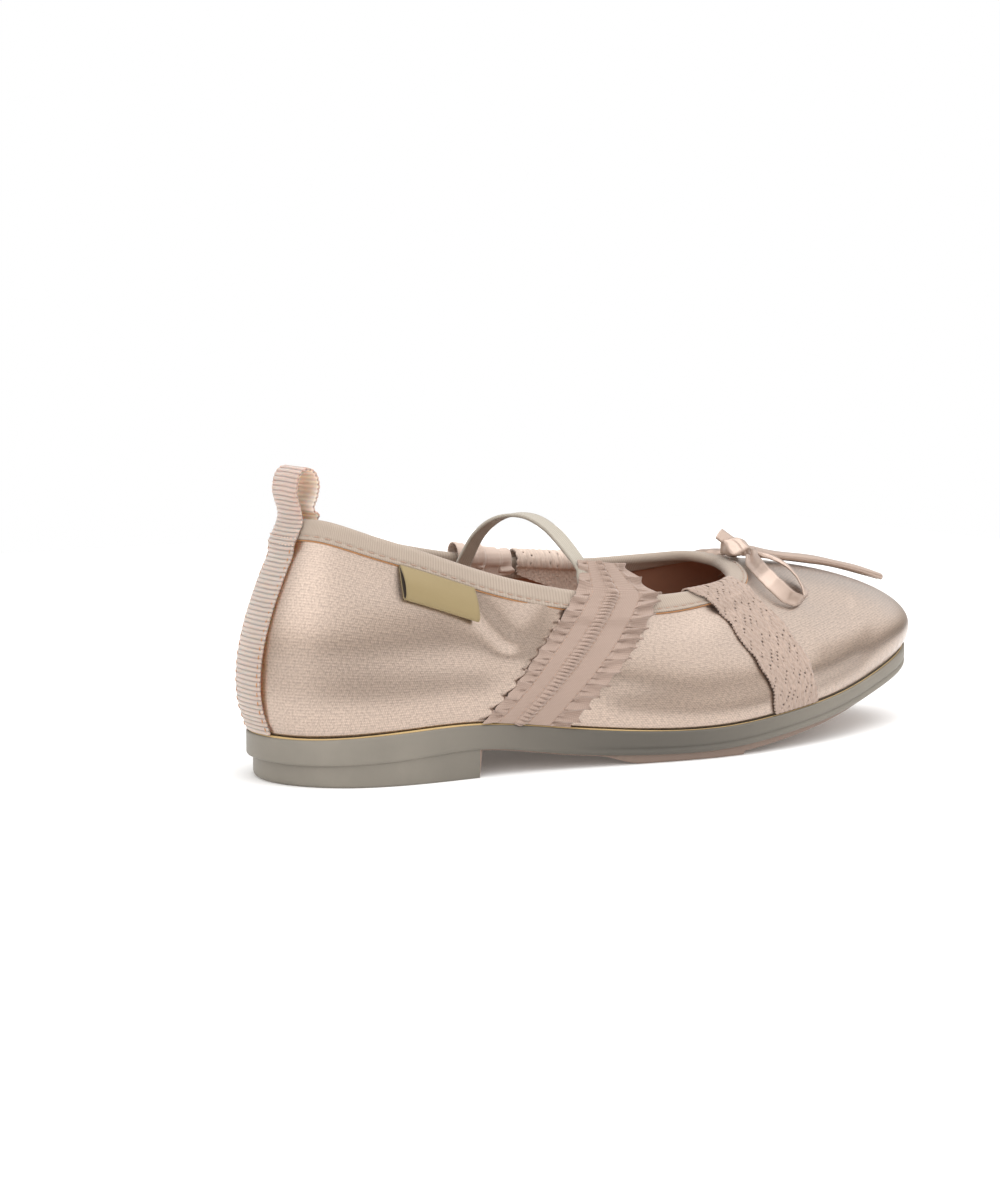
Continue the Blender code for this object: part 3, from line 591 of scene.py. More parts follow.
class Graph:
    """Small helper that adds and joins the nodes of a material or of the world."""

    def __init__(self, owner: bpy.types.Material | bpy.types.World, shader: str = "Principled BSDF") -> None:
        """Starts on the owner's own nodes.

        Args:
            owner: The material or the world.
            shader: Name of its first shader.
        """
        owner.use_nodes = True
        self.owner = owner
        self.nodes, self.links = owner.node_tree.nodes, owner.node_tree.links
        self.shader = self.nodes[shader]

    def add(self, kind: str, settings: dict | None = None, **inputs: object) -> bpy.types.Node:
        """Adds a node.

        Args:
            kind: The node's type, without its ShaderNode prefix.
            settings: The node's own properties.
            inputs: Values or sockets for its inputs, with underscores for spaces.

        Returns:
            The node.
        """
        node = self.nodes.new("ShaderNode" + kind)
        for name, value in (settings or {}).items():
            setattr(node, name, value)
        self.fill(node, inputs)
        return node

    def fill(self, node: bpy.types.Node, inputs: dict[str, object]) -> None:
        """Links or sets a node's inputs.

        Args:
            node: The node.
            inputs: Values or sockets by the inputs' names, with underscores for spaces.
        """
        for name, value in inputs.items():
            self.feed(node.inputs[name.replace("_", " ")], value)

    def shade(self, **inputs: object) -> None:
        """Links or sets the first shader's inputs."""
        self.fill(self.shader, inputs)

    def feed(self, socket: bpy.types.NodeSocket, value: object) -> None:
        """Links a socket to an input, or sets its value.

        Args:
            socket: The input socket.
            value: A socket or a constant.
        """
        if isinstance(value, bpy.types.NodeSocket):
            self.links.new(value, socket)
        else:
            socket.default_value = value

    def math(self, operation: str, *values: object) -> bpy.types.NodeSocket:
        """Adds a Math node.

        Args:
            operation: Its operation.
            values: Its values or sockets, in order.

        Returns:
            The result's socket.
        """
        node = self.add("Math", {"operation": operation})
        for socket, value in zip(node.inputs, values):
            self.feed(socket, value)
        return node.outputs[0]

    def mix(self, factor: object, first: tuple | object, second: tuple | object) -> bpy.types.NodeSocket:
        """Mixes two colours.

        Args:
            factor: Share of the second colour.
            first: First colour or socket.
            second: Second colour or socket.

        Returns:
            The colour's socket.
        """
        node = self.add("Mix", {"data_type": "RGBA"})
        self.feed(node.inputs[0], factor)
        self.feed(node.inputs[6], first)
        self.feed(node.inputs[7], second)
        return node.outputs[2]

    def spread(self, value: object, low: float, high: float) -> bpy.types.NodeSocket:
        """Stretches low..high to 0..1, with soft ends.

        Args:
            value: The socket to stretch.
            low: Value that becomes 0.
            high: Value that becomes 1.

        Returns:
            The result's socket.
        """
        node = self.add("MapRange", {"interpolation_type": "SMOOTHSTEP"})
        for socket, number in zip(node.inputs, (value, low, high, 0.0, 1.0)):
            self.feed(socket, number)
        return node.outputs[0]

    def bump(self, height: object, depth: float, over: object | None = None) -> bpy.types.NodeSocket:
        """Adds a Bump node.

        Args:
            height: Height from 0 to 1.
            depth: Its depth in millimetres.
            over: A normal to build on.

        Returns:
            The normal's socket.
        """
        node = self.add("Bump", Strength=1.0, Distance=depth * MM, Height=height)
        if over is not None:
            self.feed(node.inputs["Normal"], over)
        return node.outputs[0]


def shade_of(colour: tuple[float, float, float], factor: float) -> tuple[float, float, float, float]:
    """Colour with its light scaled.

    Args:
        colour: Linear red, green and blue.
        factor: Scale.

    Returns:
        Red, green, blue and alpha.
    """
    return (*(min(channel * factor, 1.0) for channel in colour), 1.0)


class Weave(Enum):
    """How threads show on a cloth."""

    SATIN = "satin"
    PLAIN = "plain"
    RIBS = "ribs"
    GROOVES = "grooves"
    CORDS = "cords"
    TWILL = "twill"
    KNIT = "knit"


@dataclass(frozen=True)
class Cloth:
    """Woven finish on the piece's own UV map, which holds millimetres along and across it.

    The weave's pitch and depth are in millimetres. Its hollows are painted darker, to the share dark of its
    colour, as painted shade; cloud is how far the tone drifts over the cloth, and glow is the share of light
    that passes into it.
    """

    name: str
    colour: tuple[float, float, float]
    weave: Weave
    pitch: float = 0.5
    depth: float = 0.05
    dark: float = 0.86
    cloud: float = 0.06
    roughness: float = 0.75
    sheen: float = 0.25
    specular: float = 0.3
    metallic: float = 0.0
    coat: float = 0.0
    glow: float = 0.0

    def threads(self, graph: Graph, run: object, across: object) -> bpy.types.NodeSocket:
        """Height of the weave.

        Args:
            graph: The material's graph.
            run: Millimetres along the piece.
            across: Millimetres across it.

        Returns:
            Socket with heights from 0 to 1.
        """
        def wave(value: object, pitch: float) -> bpy.types.NodeSocket:
            """Sine of one coordinate, from 0 to 1."""
            turned = graph.math("SINE", graph.math("MULTIPLY", value, FULL_TURN / pitch))
            return graph.math("MULTIPLY", graph.math("ADD", turned, 1.0), 0.5)

        if self.weave is Weave.RIBS:
            return wave(run, self.pitch)
        if self.weave is Weave.CORDS:
            return wave(across, self.pitch)
        if self.weave is Weave.GROOVES:
            turned = graph.math("SINE", graph.math("MULTIPLY", run, math.pi / self.pitch))
            return graph.math("POWER", graph.math("ABSOLUTE", turned), 0.5)
        if self.weave is Weave.TWILL:
            slant = graph.math("ADD", run, across)
            return graph.math("MULTIPLY", wave(slant, self.pitch), wave(across, self.pitch / 2.0))
        if self.weave is Weave.PLAIN:
            return graph.math("MULTIPLY", wave(run, self.pitch), wave(across, self.pitch))
        long, wide = (1.0, 3.2) if self.weave is Weave.KNIT else (1.3, 1.0)
        stretched = graph.add("CombineXYZ", X=graph.math("DIVIDE", run, long),
                              Y=graph.math("DIVIDE", across, wide), Z=0.0)
        grain = graph.add("TexNoise", Vector=stretched.outputs[0], Scale=1.0 / self.pitch, Detail=3.0,
                          Roughness=0.65)
        grain = graph.spread(grain.outputs[0], 0.34, 0.62)
        if self.weave is Weave.KNIT:
            return grain
        slant = graph.math("ADD", run, graph.math("MULTIPLY", across, 0.5))
        floats = graph.math("MULTIPLY", wave(slant, self.pitch), wave(across, self.pitch))
        return graph.math("ADD", graph.math("MULTIPLY", floats, 0.5), graph.math("MULTIPLY", grain, 0.5))

    def build(self) -> bpy.types.Material:
        """Makes the material.

        Returns:
            The material.
        """
        graph = Graph(bpy.data.materials.new(self.name))
        place = graph.add("TexCoord")
        split = graph.add("SeparateXYZ", Vector=place.outputs["UV"])
        height = self.threads(graph, split.outputs[0], split.outputs[1])
        clouds = graph.add("TexNoise", Vector=place.outputs["Object"], Scale=90.0, Detail=3.0)
        fuzz = graph.add("TexNoise", Vector=place.outputs["UV"], Scale=2.2, Detail=4.0, Roughness=0.7)
        tone = graph.mix(graph.spread(clouds.outputs[0], 0.3, 0.7), shade_of(self.colour, 1.0 - self.cloud),
                         shade_of(self.colour, 1.0 + self.cloud))
        normal = graph.bump(height, self.depth, graph.bump(fuzz.outputs[0], self.depth * 0.8))
        # Painted shade: the weave's hollows take the darker colour.
        graph.shade(Base_Color=graph.mix(height, shade_of(self.colour, self.dark), tone),
                    Roughness=self.roughness, Specular_IOR_Level=self.specular, Metallic=self.metallic,
                    Subsurface_Weight=self.glow, Subsurface_Radius=(1.0, 0.55, 0.4),
                    Subsurface_Scale=3.0 * MM, Sheen_Weight=self.sheen, Sheen_Roughness=0.4,
                    Coat_Weight=self.coat, Coat_IOR=2.0, Coat_Roughness=self.roughness,
                    Normal=normal, Coat_Normal=normal)
        return graph.owner


@dataclass(frozen=True)
class Rubber:
    """Moulded rubber with faint clouds and a fine pebble, with painted shade at the waist if wanted.

    Painted shade drops the tone to the share waist at waist_shade_place, and it is full again
    waist_shade_reach away, in millimetres.
    """

    name: str
    colour: tuple[float, float, float]
    roughness: float = 0.5
    waist: float = 1.0
    waist_shade_place: float = 88.0
    waist_shade_reach: float = 105.0

    def build(self) -> bpy.types.Material:
        """Makes the material.

        Returns:
            The material.
        """
        graph = Graph(bpy.data.materials.new(self.name))
        place = graph.add("TexCoord")
        clouds = graph.add("TexNoise", Vector=place.outputs["Object"], Scale=45.0, Detail=5.0)
        specks = graph.add("TexNoise", Vector=place.outputs["Object"], Scale=1400.0, Detail=2.0)
        tone = graph.mix(graph.spread(clouds.outputs[0], 0.32, 0.68), shade_of(self.colour, 0.92),
                         shade_of(self.colour, 1.07))
        # Painted shade: the tone darkens towards the waist.
        split = graph.add("SeparateXYZ", Vector=place.outputs["Object"])
        away = graph.math("ABSOLUTE", graph.math("SUBTRACT", split.outputs[0], self.waist_shade_place * MM))
        beyond = graph.spread(away, 0.0, self.waist_shade_reach * MM)
        tone = graph.mix(beyond, shade_of(self.colour, self.waist), tone)
        rough = graph.math("MULTIPLY_ADD", clouds.outputs[0], 0.16, self.roughness - 0.08)
        graph.shade(Base_Color=tone, Roughness=rough, Specular_IOR_Level=0.4,
                    Normal=graph.bump(specks.outputs[0], 0.05))
        return graph.owner


class Wardrobe:
    """Every finish of the shoe, built once."""

    def __init__(self) -> None:
        """Builds the materials."""
        self.satin = Cloth("satin", (0.57, 0.425, 0.33), Weave.SATIN, pitch=0.78, depth=0.026, dark=0.50,
                           cloud=0.03, roughness=0.31, sheen=0.05, specular=0.5, metallic=0.88,
                           coat=0.8).build()
        self.ribbon_satin = Cloth("ribbon_satin", (0.46, 0.335, 0.265), Weave.SATIN, pitch=0.25, depth=0.02,
                                  dark=0.88, cloud=0.03, roughness=0.28, sheen=0.1, specular=0.5,
                                  metallic=0.45, coat=0.4).build()
        self.tape = Cloth("tape", (0.43, 0.35, 0.285), Weave.RIBS, pitch=0.80, dark=0.84, cloud=0.04).build()
        self.grosgrain = Cloth("grosgrain", (0.50, 0.40, 0.35), Weave.GROOVES, pitch=1.42, depth=0.12,
                               dark=0.36, cloud=0.03, glow=0.8).build()
        # Much lighter copy of the grosgrain for one face of the ribbon: painted light.
        self.grosgrain_painted_light = Cloth("grosgrain_painted_light", (0.88, 0.74, 0.65), Weave.GROOVES, pitch=1.42, dark=0.72,
                                   cloud=0.03, glow=0.9).build()
        self.cotton = Cloth("ruffle_cotton", (0.46, 0.34, 0.28), Weave.PLAIN, pitch=0.62, dark=0.76,
                            cloud=0.05, roughness=0.7, sheen=0.3).build()
        # Paler copy of the ruffle cotton for the medial side: painted light.
        self.cotton_painted_light = Cloth("cotton_painted_light", (0.66, 0.52, 0.44), Weave.PLAIN, pitch=0.34, depth=0.04,
                                 dark=0.88, cloud=0.04, roughness=0.7, sheen=0.3).build()
        self.lace = Cloth("lace_cotton", (0.45, 0.34, 0.28), Weave.KNIT, pitch=0.60, depth=0.10, dark=0.80,
                          cloud=0.05, roughness=0.85).build()
        # Paler copy of the lace for the medial side: painted light.
        self.lace_painted_light = Cloth("lace_painted_light", (0.70, 0.56, 0.47), Weave.KNIT, pitch=0.60, depth=0.10, dark=0.80,
                               cloud=0.05, roughness=0.85).build()
        self.elastic = Cloth("elastic_weave", (0.47, 0.425, 0.355), Weave.CORDS, pitch=0.8, depth=0.08,
                             dark=0.84, cloud=0.03).build()
        self.label = Cloth("label_weave", (0.315, 0.24, 0.12), Weave.TWILL, depth=0.03, dark=0.93, cloud=0.03,
                           roughness=0.55, sheen=0.1).build()
        # Near-black cloth for inside the label's fold: painted shade.
        self.label_painted_shade = Cloth("label_painted_shade", (0.05, 0.035, 0.025), Weave.TWILL, depth=0.04).build()
        self.lining = Cloth("lining", (0.46, 0.24, 0.155), Weave.PLAIN, depth=0.03, dark=0.85, cloud=0.08,
                            roughness=0.8).build()
        self.thread = Cloth("thread", (0.50, 0.33, 0.25), Weave.RIBS, pitch=0.25, depth=0.03, dark=0.8,
                            cloud=0.02, roughness=0.6).build()
        self.pale_thread = Cloth("pale_thread", (0.80, 0.62, 0.52), Weave.RIBS, pitch=0.25, depth=0.03,
                                 dark=0.85).build()
        # Rust-brown thread for the heel's stitches, also used as the painted shadow line under the binding.
        self.rust_and_painted_shadow = Cloth("rust_thread", (0.55, 0.27, 0.12), Weave.RIBS, pitch=0.4, depth=0.03, dark=0.8,
                          cloud=0.04, roughness=0.6).build()
        self.glue = Rubber("glue_line", (0.52, 0.36, 0.16), roughness=0.45).build()
        # Painted shade darkens this rubber at the waist.
        self.rubber = Rubber("rubber", (0.222, 0.200, 0.166), waist=0.42).build()
        # Darker brown rubber for the sides and underside of the arch and tread: painted shade under the sole.
        self.under = Rubber("rubber_underside_painted_shade", (0.24, 0.175, 0.14)).build()


def new_object(name: str, data: bpy.types.ID) -> bpy.types.Object:
    """Object of some data, linked to the scene.

    Args:
        name: The object's name.
        data: Its mesh, light or camera.

    Returns:
        The new object.
    """
    item = bpy.data.objects.new(name, data)
    bpy.context.scene.collection.objects.link(item)
    return item


def grid_piece(name: str, shape: tuple[int, int], place: Callable[[Array, Array], Array],
               size: tuple[float, float], last: Last, closed: bool = False) -> bpy.types.Object:
    """Sheet of quads carried onto a surface.

    Args:
        name: The object's name.
        shape: Numbers of quads along and across.
        place: Millimetre points for fractions along and across.
        size: Millimetres that its UV map spans along and across.
        last: The shoe's form, which knows the frame.
        closed: Whether the last quad meets the first.

    Returns:
        The new object.
    """
    bm = bmesh.new()
    bmesh.ops.create_grid(bm, x_segments=shape[0], y_segments=shape[1], size=0.5, calc_uvs=False)
    flat = np.array([vert.co[:2] for vert in bm.verts]) + 0.5
    points = last.to_metres(place(flat[:, 0], flat[:, 1]))
    layer = bm.loops.layers.uv.new("UVMap")
    for face in bm.faces:
        for loop in face.loops:
            u, v = flat[loop.vert.index]
            loop[layer].uv = (u * size[0], v * size[1])
    for vert, point in zip(bm.verts, points):
        vert.co = point
    if closed:
        bmesh.ops.remove_doubles(bm, verts=bm.verts, dist=1e-6)
    return finish_piece(name, bm)


def finish_piece(name: str, bm: bmesh.types.BMesh) -> bpy.types.Object:
    """Object from a finished bmesh, shaded smooth.

    Args:
        name: The object's name.
        bm: The bmesh, which is freed.

    Returns:
        The new object.
    """
    mesh = bpy.data.meshes.new(name)
    bm.to_mesh(mesh)
    bm.free()
    mesh.shade_smooth()
    return new_object(name, mesh)


def sheet_piece(name: str, sheet: Array, size: tuple[float, float], last: Last) -> bpy.types.Object:
    """Sheet of quads through a grid of points.

    Args:
        name: The object's name.
        sheet: Grid of points in millimetres.
        size: Millimetres that its UV map spans along and across.
        last: The shoe's form, which knows the frame.

    Returns:
        The new object.
    """
    rows, columns = sheet.shape[0] - 1, sheet.shape[1] - 1

    def place(u: Array, v: Array) -> Array:
        """Reads the sheet at the grid's places."""
        return sheet[np.rint(u * rows).astype(int), np.rint(v * columns).astype(int)]

    return grid_piece(name, (rows, columns), place, size, last)


def thicken(piece: bpy.types.Object, thickness: float, offset: float) -> None:
    """Gives a sheet its thickness.

    Args:
        piece: The sheet.
        thickness: Millimetres.
        offset: -1 inwards, 0 both ways, 1 outwards.
    """
    solid = piece.modifiers.new("thickness", "SOLIDIFY")
    solid.thickness = thickness * MM
    solid.offset = offset
    solid.use_even_offset = False
    solid.use_rim = True


@dataclass
class Trim:
    """A piece of the shoe: knows the last and the finishes, and reports itself."""

    last: Last
    finishes: Wardrobe

    def dress(self, piece: bpy.types.Object, material: bpy.types.Material, slot: Slot,
              nodes: Sequence[str] = ()) -> bpy.types.Object:
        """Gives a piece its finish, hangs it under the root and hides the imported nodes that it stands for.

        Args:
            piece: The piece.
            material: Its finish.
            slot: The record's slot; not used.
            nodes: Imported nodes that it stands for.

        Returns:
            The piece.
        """
        piece.data.materials.append(material)
        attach(piece, "root")
        if nodes:
            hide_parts(*nodes)
        LOG.info("%s: %d faces", piece.name, len(piece.data.polygons))
        return piece


@dataclass
class Sole(Trim):
    """Moulded rubber sole: side band, heel lift, arch and tread, with the glue line that shows above it."""

    breast: float = 62.0
    breast_slant: float = 1.5
    tread_start: float = 104.0
    tread_flat: tuple[float, float] = (118.0, 156.0)
    tread_depth: float = 2.4
    tread_step: float = 1.9
    lift_step: float = 0.7
    lift_step_back: float = 1.7
    groove_depth: float = 0.5
    arch_depth: float = 0.5
    segments: int = 300
    band_rows: int = 19

    def under(self, x: Array, low: Array) -> Array:
        """Height of the underside.

        Args:
            x: Distances from the back of the sole.
            low: Height of the band's lower edge there.

        Returns:
            Heights in millimetres.
        """
        flat = self.tread_flat
        spring = low - self.tread_depth * (1.0 - 0.9 * ease(x, flat[1], self.last.length))
        arch = (low - self.arch_depth) * (1.0 - ease(x, self.tread_start, flat[0]))
        height = np.where(x <= self.breast + 0.01, 0.0, arch)
        return np.where(x > flat[1] + 0.01, np.maximum(spring, 0.0), height)

    def angles(self) -> Array:
        """Angles of the sections, with extra ones where the lift and the tread begin.

        Returns:
            Rising angles around the shoe.
        """
        marks = (self.breast, self.breast + self.breast_slant, self.tread_start, *self.tread_flat)
        turn = [math.acos(1.0 - 2.0 * x / self.last.length) for x in marks]
        even = np.linspace(0.0, FULL_TURN, self.segments, endpoint=False)
        every = np.concatenate([even, turn, FULL_TURN - np.array(turn)])
        return np.unique(np.round(every, 6))

    def profile(self, angle: Array) -> Array:
        """Section of the sole at each angle.

        Args:
            angle: Angles around the shoe.

        Returns:
            Inset, height and share of the way to the middle line, for each point of the section.
        """
        last = self.last
        x = last.length_at(angle)
        top, low = last.band_top(angle), last.band_low(angle)
        under = self.under(x, low)
        outward = unit(last.sole_edge(angle) - last.sole_edge(angle, 1.0))
        back = np.maximum(-outward[:, 0], 0.0)
        lift = x < self.breast + self.breast_slant / 2.0
        step = np.where(lift, self.lift_step + self.lift_step_back * back ** 2, self.tread_step)
        foot = np.minimum(0.5 + np.where(lift, 1.2 * back, 0.0), (low - under) / 4.0)
        groove = self.groove_depth * ease(x, 80.0, 120.0)
        # The top face and the band's upper edge, the band with its groove, and the band's lower edge.
        rows = [(2.0, top, 1.0), (2.0, top, 0.3), (1.4, top, 0.0), (0.5, top, 0.0),
                (0.15, top - 0.15, 0.0), (0.0, top - 0.5, 0.0), (0.0, top - 1.4, 0.0)]
        rows += [(0.0, low + 3.4 + (top - low - 5.0) * share, 0.0) for share in (0.66, 0.33, 0.0)]
        rows += [(0.1 * groove, low + 2.7, 0.0), (0.8 * groove, low + 2.4, 0.0), (groove, low + 2.1, 0.0),
                 (0.8 * groove, low + 1.8, 0.0), (0.1 * groove, low + 1.5, 0.0), (0.0, low + 0.9, 0.0),
                 (0.1, low + 0.45, 0.0), (0.35, low + 0.1, 0.0), (0.6, low, 0.0),
                 (step, low - 0.02, 0.0), (step, low - 0.15 * (low - under), 0.0)]
        # The side of the lift or the tread, its rounded edge, and the underside.
        rows += [(step, under + foot + (low - under - foot) * share, 0.0) for share in (0.5, 0.1, 0.0)]
        rows += [(step + foot * (1.0 - math.cos(a)), under + foot * (1.0 - math.sin(a)), 0.0)
                 for a in (0.4, 0.8, 1.2, 1.57)]
        rows += [(step + foot + 0.5, under, 0.0), (step + 2.0, under, 0.3), (step + 2.0, under, 1.0)]
        return np.array([np.broadcast_arrays(*row, x)[:3] for row in rows])

    def body(self) -> bpy.types.Object:
        """The sole itself.

        Returns:
            The piece.
        """
        angle = self.angles()
        rows = self.profile(angle)
        last = self.last

        def place(u: Array, v: Array) -> Array:
            """Carries the grid round the outline and down the section."""
            i = np.rint(u * len(angle)).astype(int) % len(angle)
            j = np.rint((1.0 - v) * (len(rows) - 1)).astype(int)
            inset, height, share = rows[j, 0, i], rows[j, 1, i], rows[j, 2, i]
            edge = last.sole_edge(angle[i], inset)
            middle = (edge + last.sole_edge(FULL_TURN - angle[i], inset)) / 2.0
            plan = edge + (middle - edge) * share[:, None]
            return np.column_stack([plan, height])

        piece = grid_piece("sole", (len(angle), len(rows) - 1), place, (620.0, 60.0), last, closed=True)
        piece.data.set_sharp_from_angle(angle=math.radians(50.0))
        self.dress(piece, self.finishes.rubber, Slot.OUTSOLE, ("outsole",))
        # Painted shade under the sole: the sides and underside from the breast forward take the darker brown
        # rubber.
        piece.data.materials.append(self.finishes.under)
        back = (self.breast + 0.5 - last.heel_rest) * MM
        edge = len(rows) - 1 - self.band_rows
        for k, face in enumerate(piece.data.polygons):
            if k // len(angle) < edge and face.center.x > back:
                face.material_index = 1
        return piece

    def glue(self) -> bpy.types.Object:
        """Thin line of glue where the upper meets the sole, at the heel and the waist.

        Returns:
            The piece.
        """
        last = self.last

        def place(u: Array, v: Array) -> Array:
            """Carries a thin bead round the upper's foot."""
            angle = u * FULL_TURN
            x = last.length_at(angle)
            size = 0.15 + 0.25 * (1.0 - ease(x, 95.0, 135.0)) * (1.0 + 0.3 * np.sin(9.0 * angle))
            turn = v * FULL_TURN
            plan = last.sole_edge(angle, last.feather - 0.45 + size * np.cos(turn))
            return np.column_stack([plan, last.band_top(angle) + 0.1 + size * np.sin(turn)])

        piece = grid_piece("glue_line", (360, 6), place, (600.0, 2.0), last, closed=True)
        return self.dress(piece, self.finishes.glue, Slot.UPPER)

    def build(self) -> None:
        """Makes the sole and its glue line."""
        self.body()
        self.glue()


@dataclass(frozen=True)
class Crease:
    """Soft trough or ridge on the satin: from one place to another, in millimetres along and up the wall."""

    side: Side
    start: tuple[float, float]
    end: tuple[float, float]
    width: float
    depth: float


CREASES = (
    Crease(Side.LATERAL, (59.0, 45.0), (71.0, 31.0), 4.5, 1.4),
    Crease(Side.LATERAL, (72.0, 27.0), (84.0, 49.0), 5.0, -0.7),
    Crease(Side.LATERAL, (4.0, 16.0), (60.0, 18.0), 7.5, 1.0),
    Crease(Side.LATERAL, (26.0, 36.0), (48.0, 38.0), 6.0, -0.3),
    Crease(Side.LATERAL, (112.0, 14.0), (162.0, 13.0), 7.0, 0.8),
    Crease(Side.LATERAL, (124.0, 34.0), (148.0, 31.0), 8.0, -0.5),
    Crease(Side.LATERAL, (184.0, 7.0), (212.0, 8.0), 4.5, 0.5),
    Crease(Side.LATERAL, (194.0, 22.0), (216.0, 20.0), 5.0, -0.5),
    Crease(Side.LATERAL, (198.0, 33.0), (214.0, 28.0), 4.0, 0.5),
    Crease(Side.MEDIAL, (58.0, 40.0), (80.0, 28.0), 7.0, 0.8),
    Crease(Side.MEDIAL, (6.0, 18.0), (56.0, 20.0), 7.0, 0.8),
    Crease(Side.MEDIAL, (100.0, 14.0), (150.0, 13.0), 6.0, 0.8),
    Crease(Side.MEDIAL, (186.0, 9.0), (214.0, 9.0), 5.0, 0.9),
    Crease(Side.MEDIAL, (196.0, 22.0), (224.0, 17.0), 5.0, -0.7),
)


@dataclass
class Upper(Trim):
    """Satin outside and dark lining inside, on one wall, with the padded sock in it."""

    skin: float = 0.8

    def relief(self, angle: Array, rise: Array) -> Array:
        """Height of the creases on the satin.

        Args:
            angle: Angles around the shoe.
            rise: Places up the wall.

        Returns:
            Millimetres off the last, below zero in a trough.
        """
        points = self.last.face(angle, rise)
        place = np.stack([points[:, 0], rise * self.last.wall_run], -1)
        total = np.zeros(len(angle))
        for crease in CREASES:
            on_side = (angle < math.pi) == (crease.side is Side.LATERAL)
            start, end = np.array(crease.start), np.array(crease.end)
            t = np.clip((place - start) @ (end - start) / ((end - start) @ (end - start)), 0.0, 1.0)
            away = np.linalg.norm(place - (start + t[:, None] * (end - start)), axis=1)
            total -= np.where(on_side, crease.depth * np.exp(-(away / crease.width) ** 2), 0.0)
        # Short puckers where the satin is drawn in at the sole.
        puckers = 0.55 * np.sin(points[:, 0] / 0.62 + 2.5 * np.sin(points[:, 0] / 9.0))
        foot = np.exp(-(rise * self.last.wall_run / 3.5) ** 2)
        return total + puckers * foot * (1.0 - foot)

    def satin(self) -> bpy.types.Object:
        """Outer skin.

        Returns:
            The piece.
        """
        last = self.last

        def place(u: Array, v: Array) -> Array:
            """Carries the grid round the last."""
            angle, rise = u * FULL_TURN, 1.0 - (1.0 - v) ** 1.15
            relief = self.relief(angle, rise) * ease(1.0 - rise, 0.0, 0.12)
            return last.face(angle, rise) + last.normal(angle, rise) * relief[:, None]

        piece = grid_piece("upper_satin", (440, 60), place, (620.0, 62.0), last, closed=True)
        thicken(piece, self.skin, -1.0)
        return self.dress(piece, self.finishes.satin, Slot.UPPER, ("upper",))

    def lining(self) -> bpy.types.Object:
        """Inner skin, seen through the collar and the throat.

        Returns:
            The piece.
        """
        last = self.last

        def place(u: Array, v: Array) -> Array:
            """Carries the grid round the inside of the wall."""
            angle, rise = u * FULL_TURN, 0.02 + 0.97 * (1.0 - (1.0 - v) ** 1.3)
            relief = self.relief(angle, rise) * ease(1.0 - rise, 0.0, 0.12)
            return last.face(angle, rise) + last.normal(angle, rise) * (relief - last.wall)[:, None]

        piece = grid_piece("upper_lining", (280, 30), place, (600.0, 60.0), last, closed=True)
        thicken(piece, last.wall - self.skin - 0.1, 1.0)
        return self.dress(piece, self.finishes.lining, Slot.UPPER)

    def sock(self) -> bpy.types.Object:
        """Padded sock on the sole.

        Returns:
            The piece.
        """
        last = self.last
        side = last.feather + last.wall + 0.6
        rows = ((0.0, side, 1.0), (0.0, side + 0.3, 0.0), (1.2, side - 0.1, 0.0), (2.2, side, 0.0),
                (2.8, side + 0.4, 0.0), (3.0, side + 1.1, 0.0), (3.1, side + 3.0, 0.0), (3.2, side, 0.25),
                (3.3, side, 0.5), (3.3, side, 1.0))

        def place(u: Array, v: Array) -> Array:
            """Carries the section round the outline and in to the middle line."""
            angle = u * FULL_TURN
            table = np.array(rows)[np.rint(v * (len(rows) - 1)).astype(int)]
            edge = last.sole_edge(angle, table[:, 1])
            middle = (edge + last.sole_edge(FULL_TURN - angle, table[:, 1])) / 2.0
            plan = edge + (middle - edge) * table[:, 2:3]
            return np.column_stack([plan, last.band_top(angle) + last.gap + table[:, 0]])

        piece = grid_piece("insole_sock", (220, len(rows) - 1), place, (600.0, 40.0), last, closed=True)
        return self.dress(piece, self.finishes.lining, Slot.INSOLE, ("insole",))

    def build(self) -> None:
        """Makes the satin, the lining and the sock."""
        self.satin()
        self.lining()
        self.sock()


class Stitches:
    """Collects short threads that lie on a surface and joins them to one piece."""

    def __init__(self) -> None:
        """Makes the thread's own shape, which every stitch copies."""
        bm = bmesh.new()
        bmesh.ops.create_uvsphere(bm, u_segments=6, v_segments=4, radius=0.5)
        bmesh.ops.rotate(bm, verts=bm.verts, matrix=Matrix.Rotation(math.pi / 2.0, 3, "Y"))
        self.shape = np.array([vert.co[:] for vert in bm.verts])
        self.faces = [[vert.index for vert in face.verts] for face in bm.faces]
        bm.free()
        self.threads: list[Array] = []

    def run(self, points: Array, normals: Array, length: float, width: float) -> None:
        """Sews a row of threads, one at each place.

        Args:
            points: Places in metres.
            normals: Surface normals there.
            length: Length of a thread in millimetres.
            width: Width of a thread in millimetres.
        """
        ahead = unit(np.gradient(points, axis=0))
        up = unit(normals - ahead * np.sum(normals * ahead, axis=-1, keepdims=True))
        frame = np.stack([ahead * length, np.cross(up, ahead) * width, up * width], axis=1) * MM
        self.threads.append((points[:, None, :] + self.shape @ frame).reshape(-1, 3))

    def piece(self, name: str) -> bpy.types.Object:
        """The joined threads.

        Args:
            name: The object's name.

        Returns:
            The piece.
        """
        points = np.concatenate(self.threads)
        step = len(self.shape)
        faces = [[start + i for i in face] for start in range(0, len(points), step) for face in self.faces]
        mesh = bpy.data.meshes.new(name)
        mesh.from_pydata(points.tolist(), [], faces)
        mesh.shade_smooth()
        mesh.uv_layers.new(name="UVMap")
        return new_object(name, mesh)


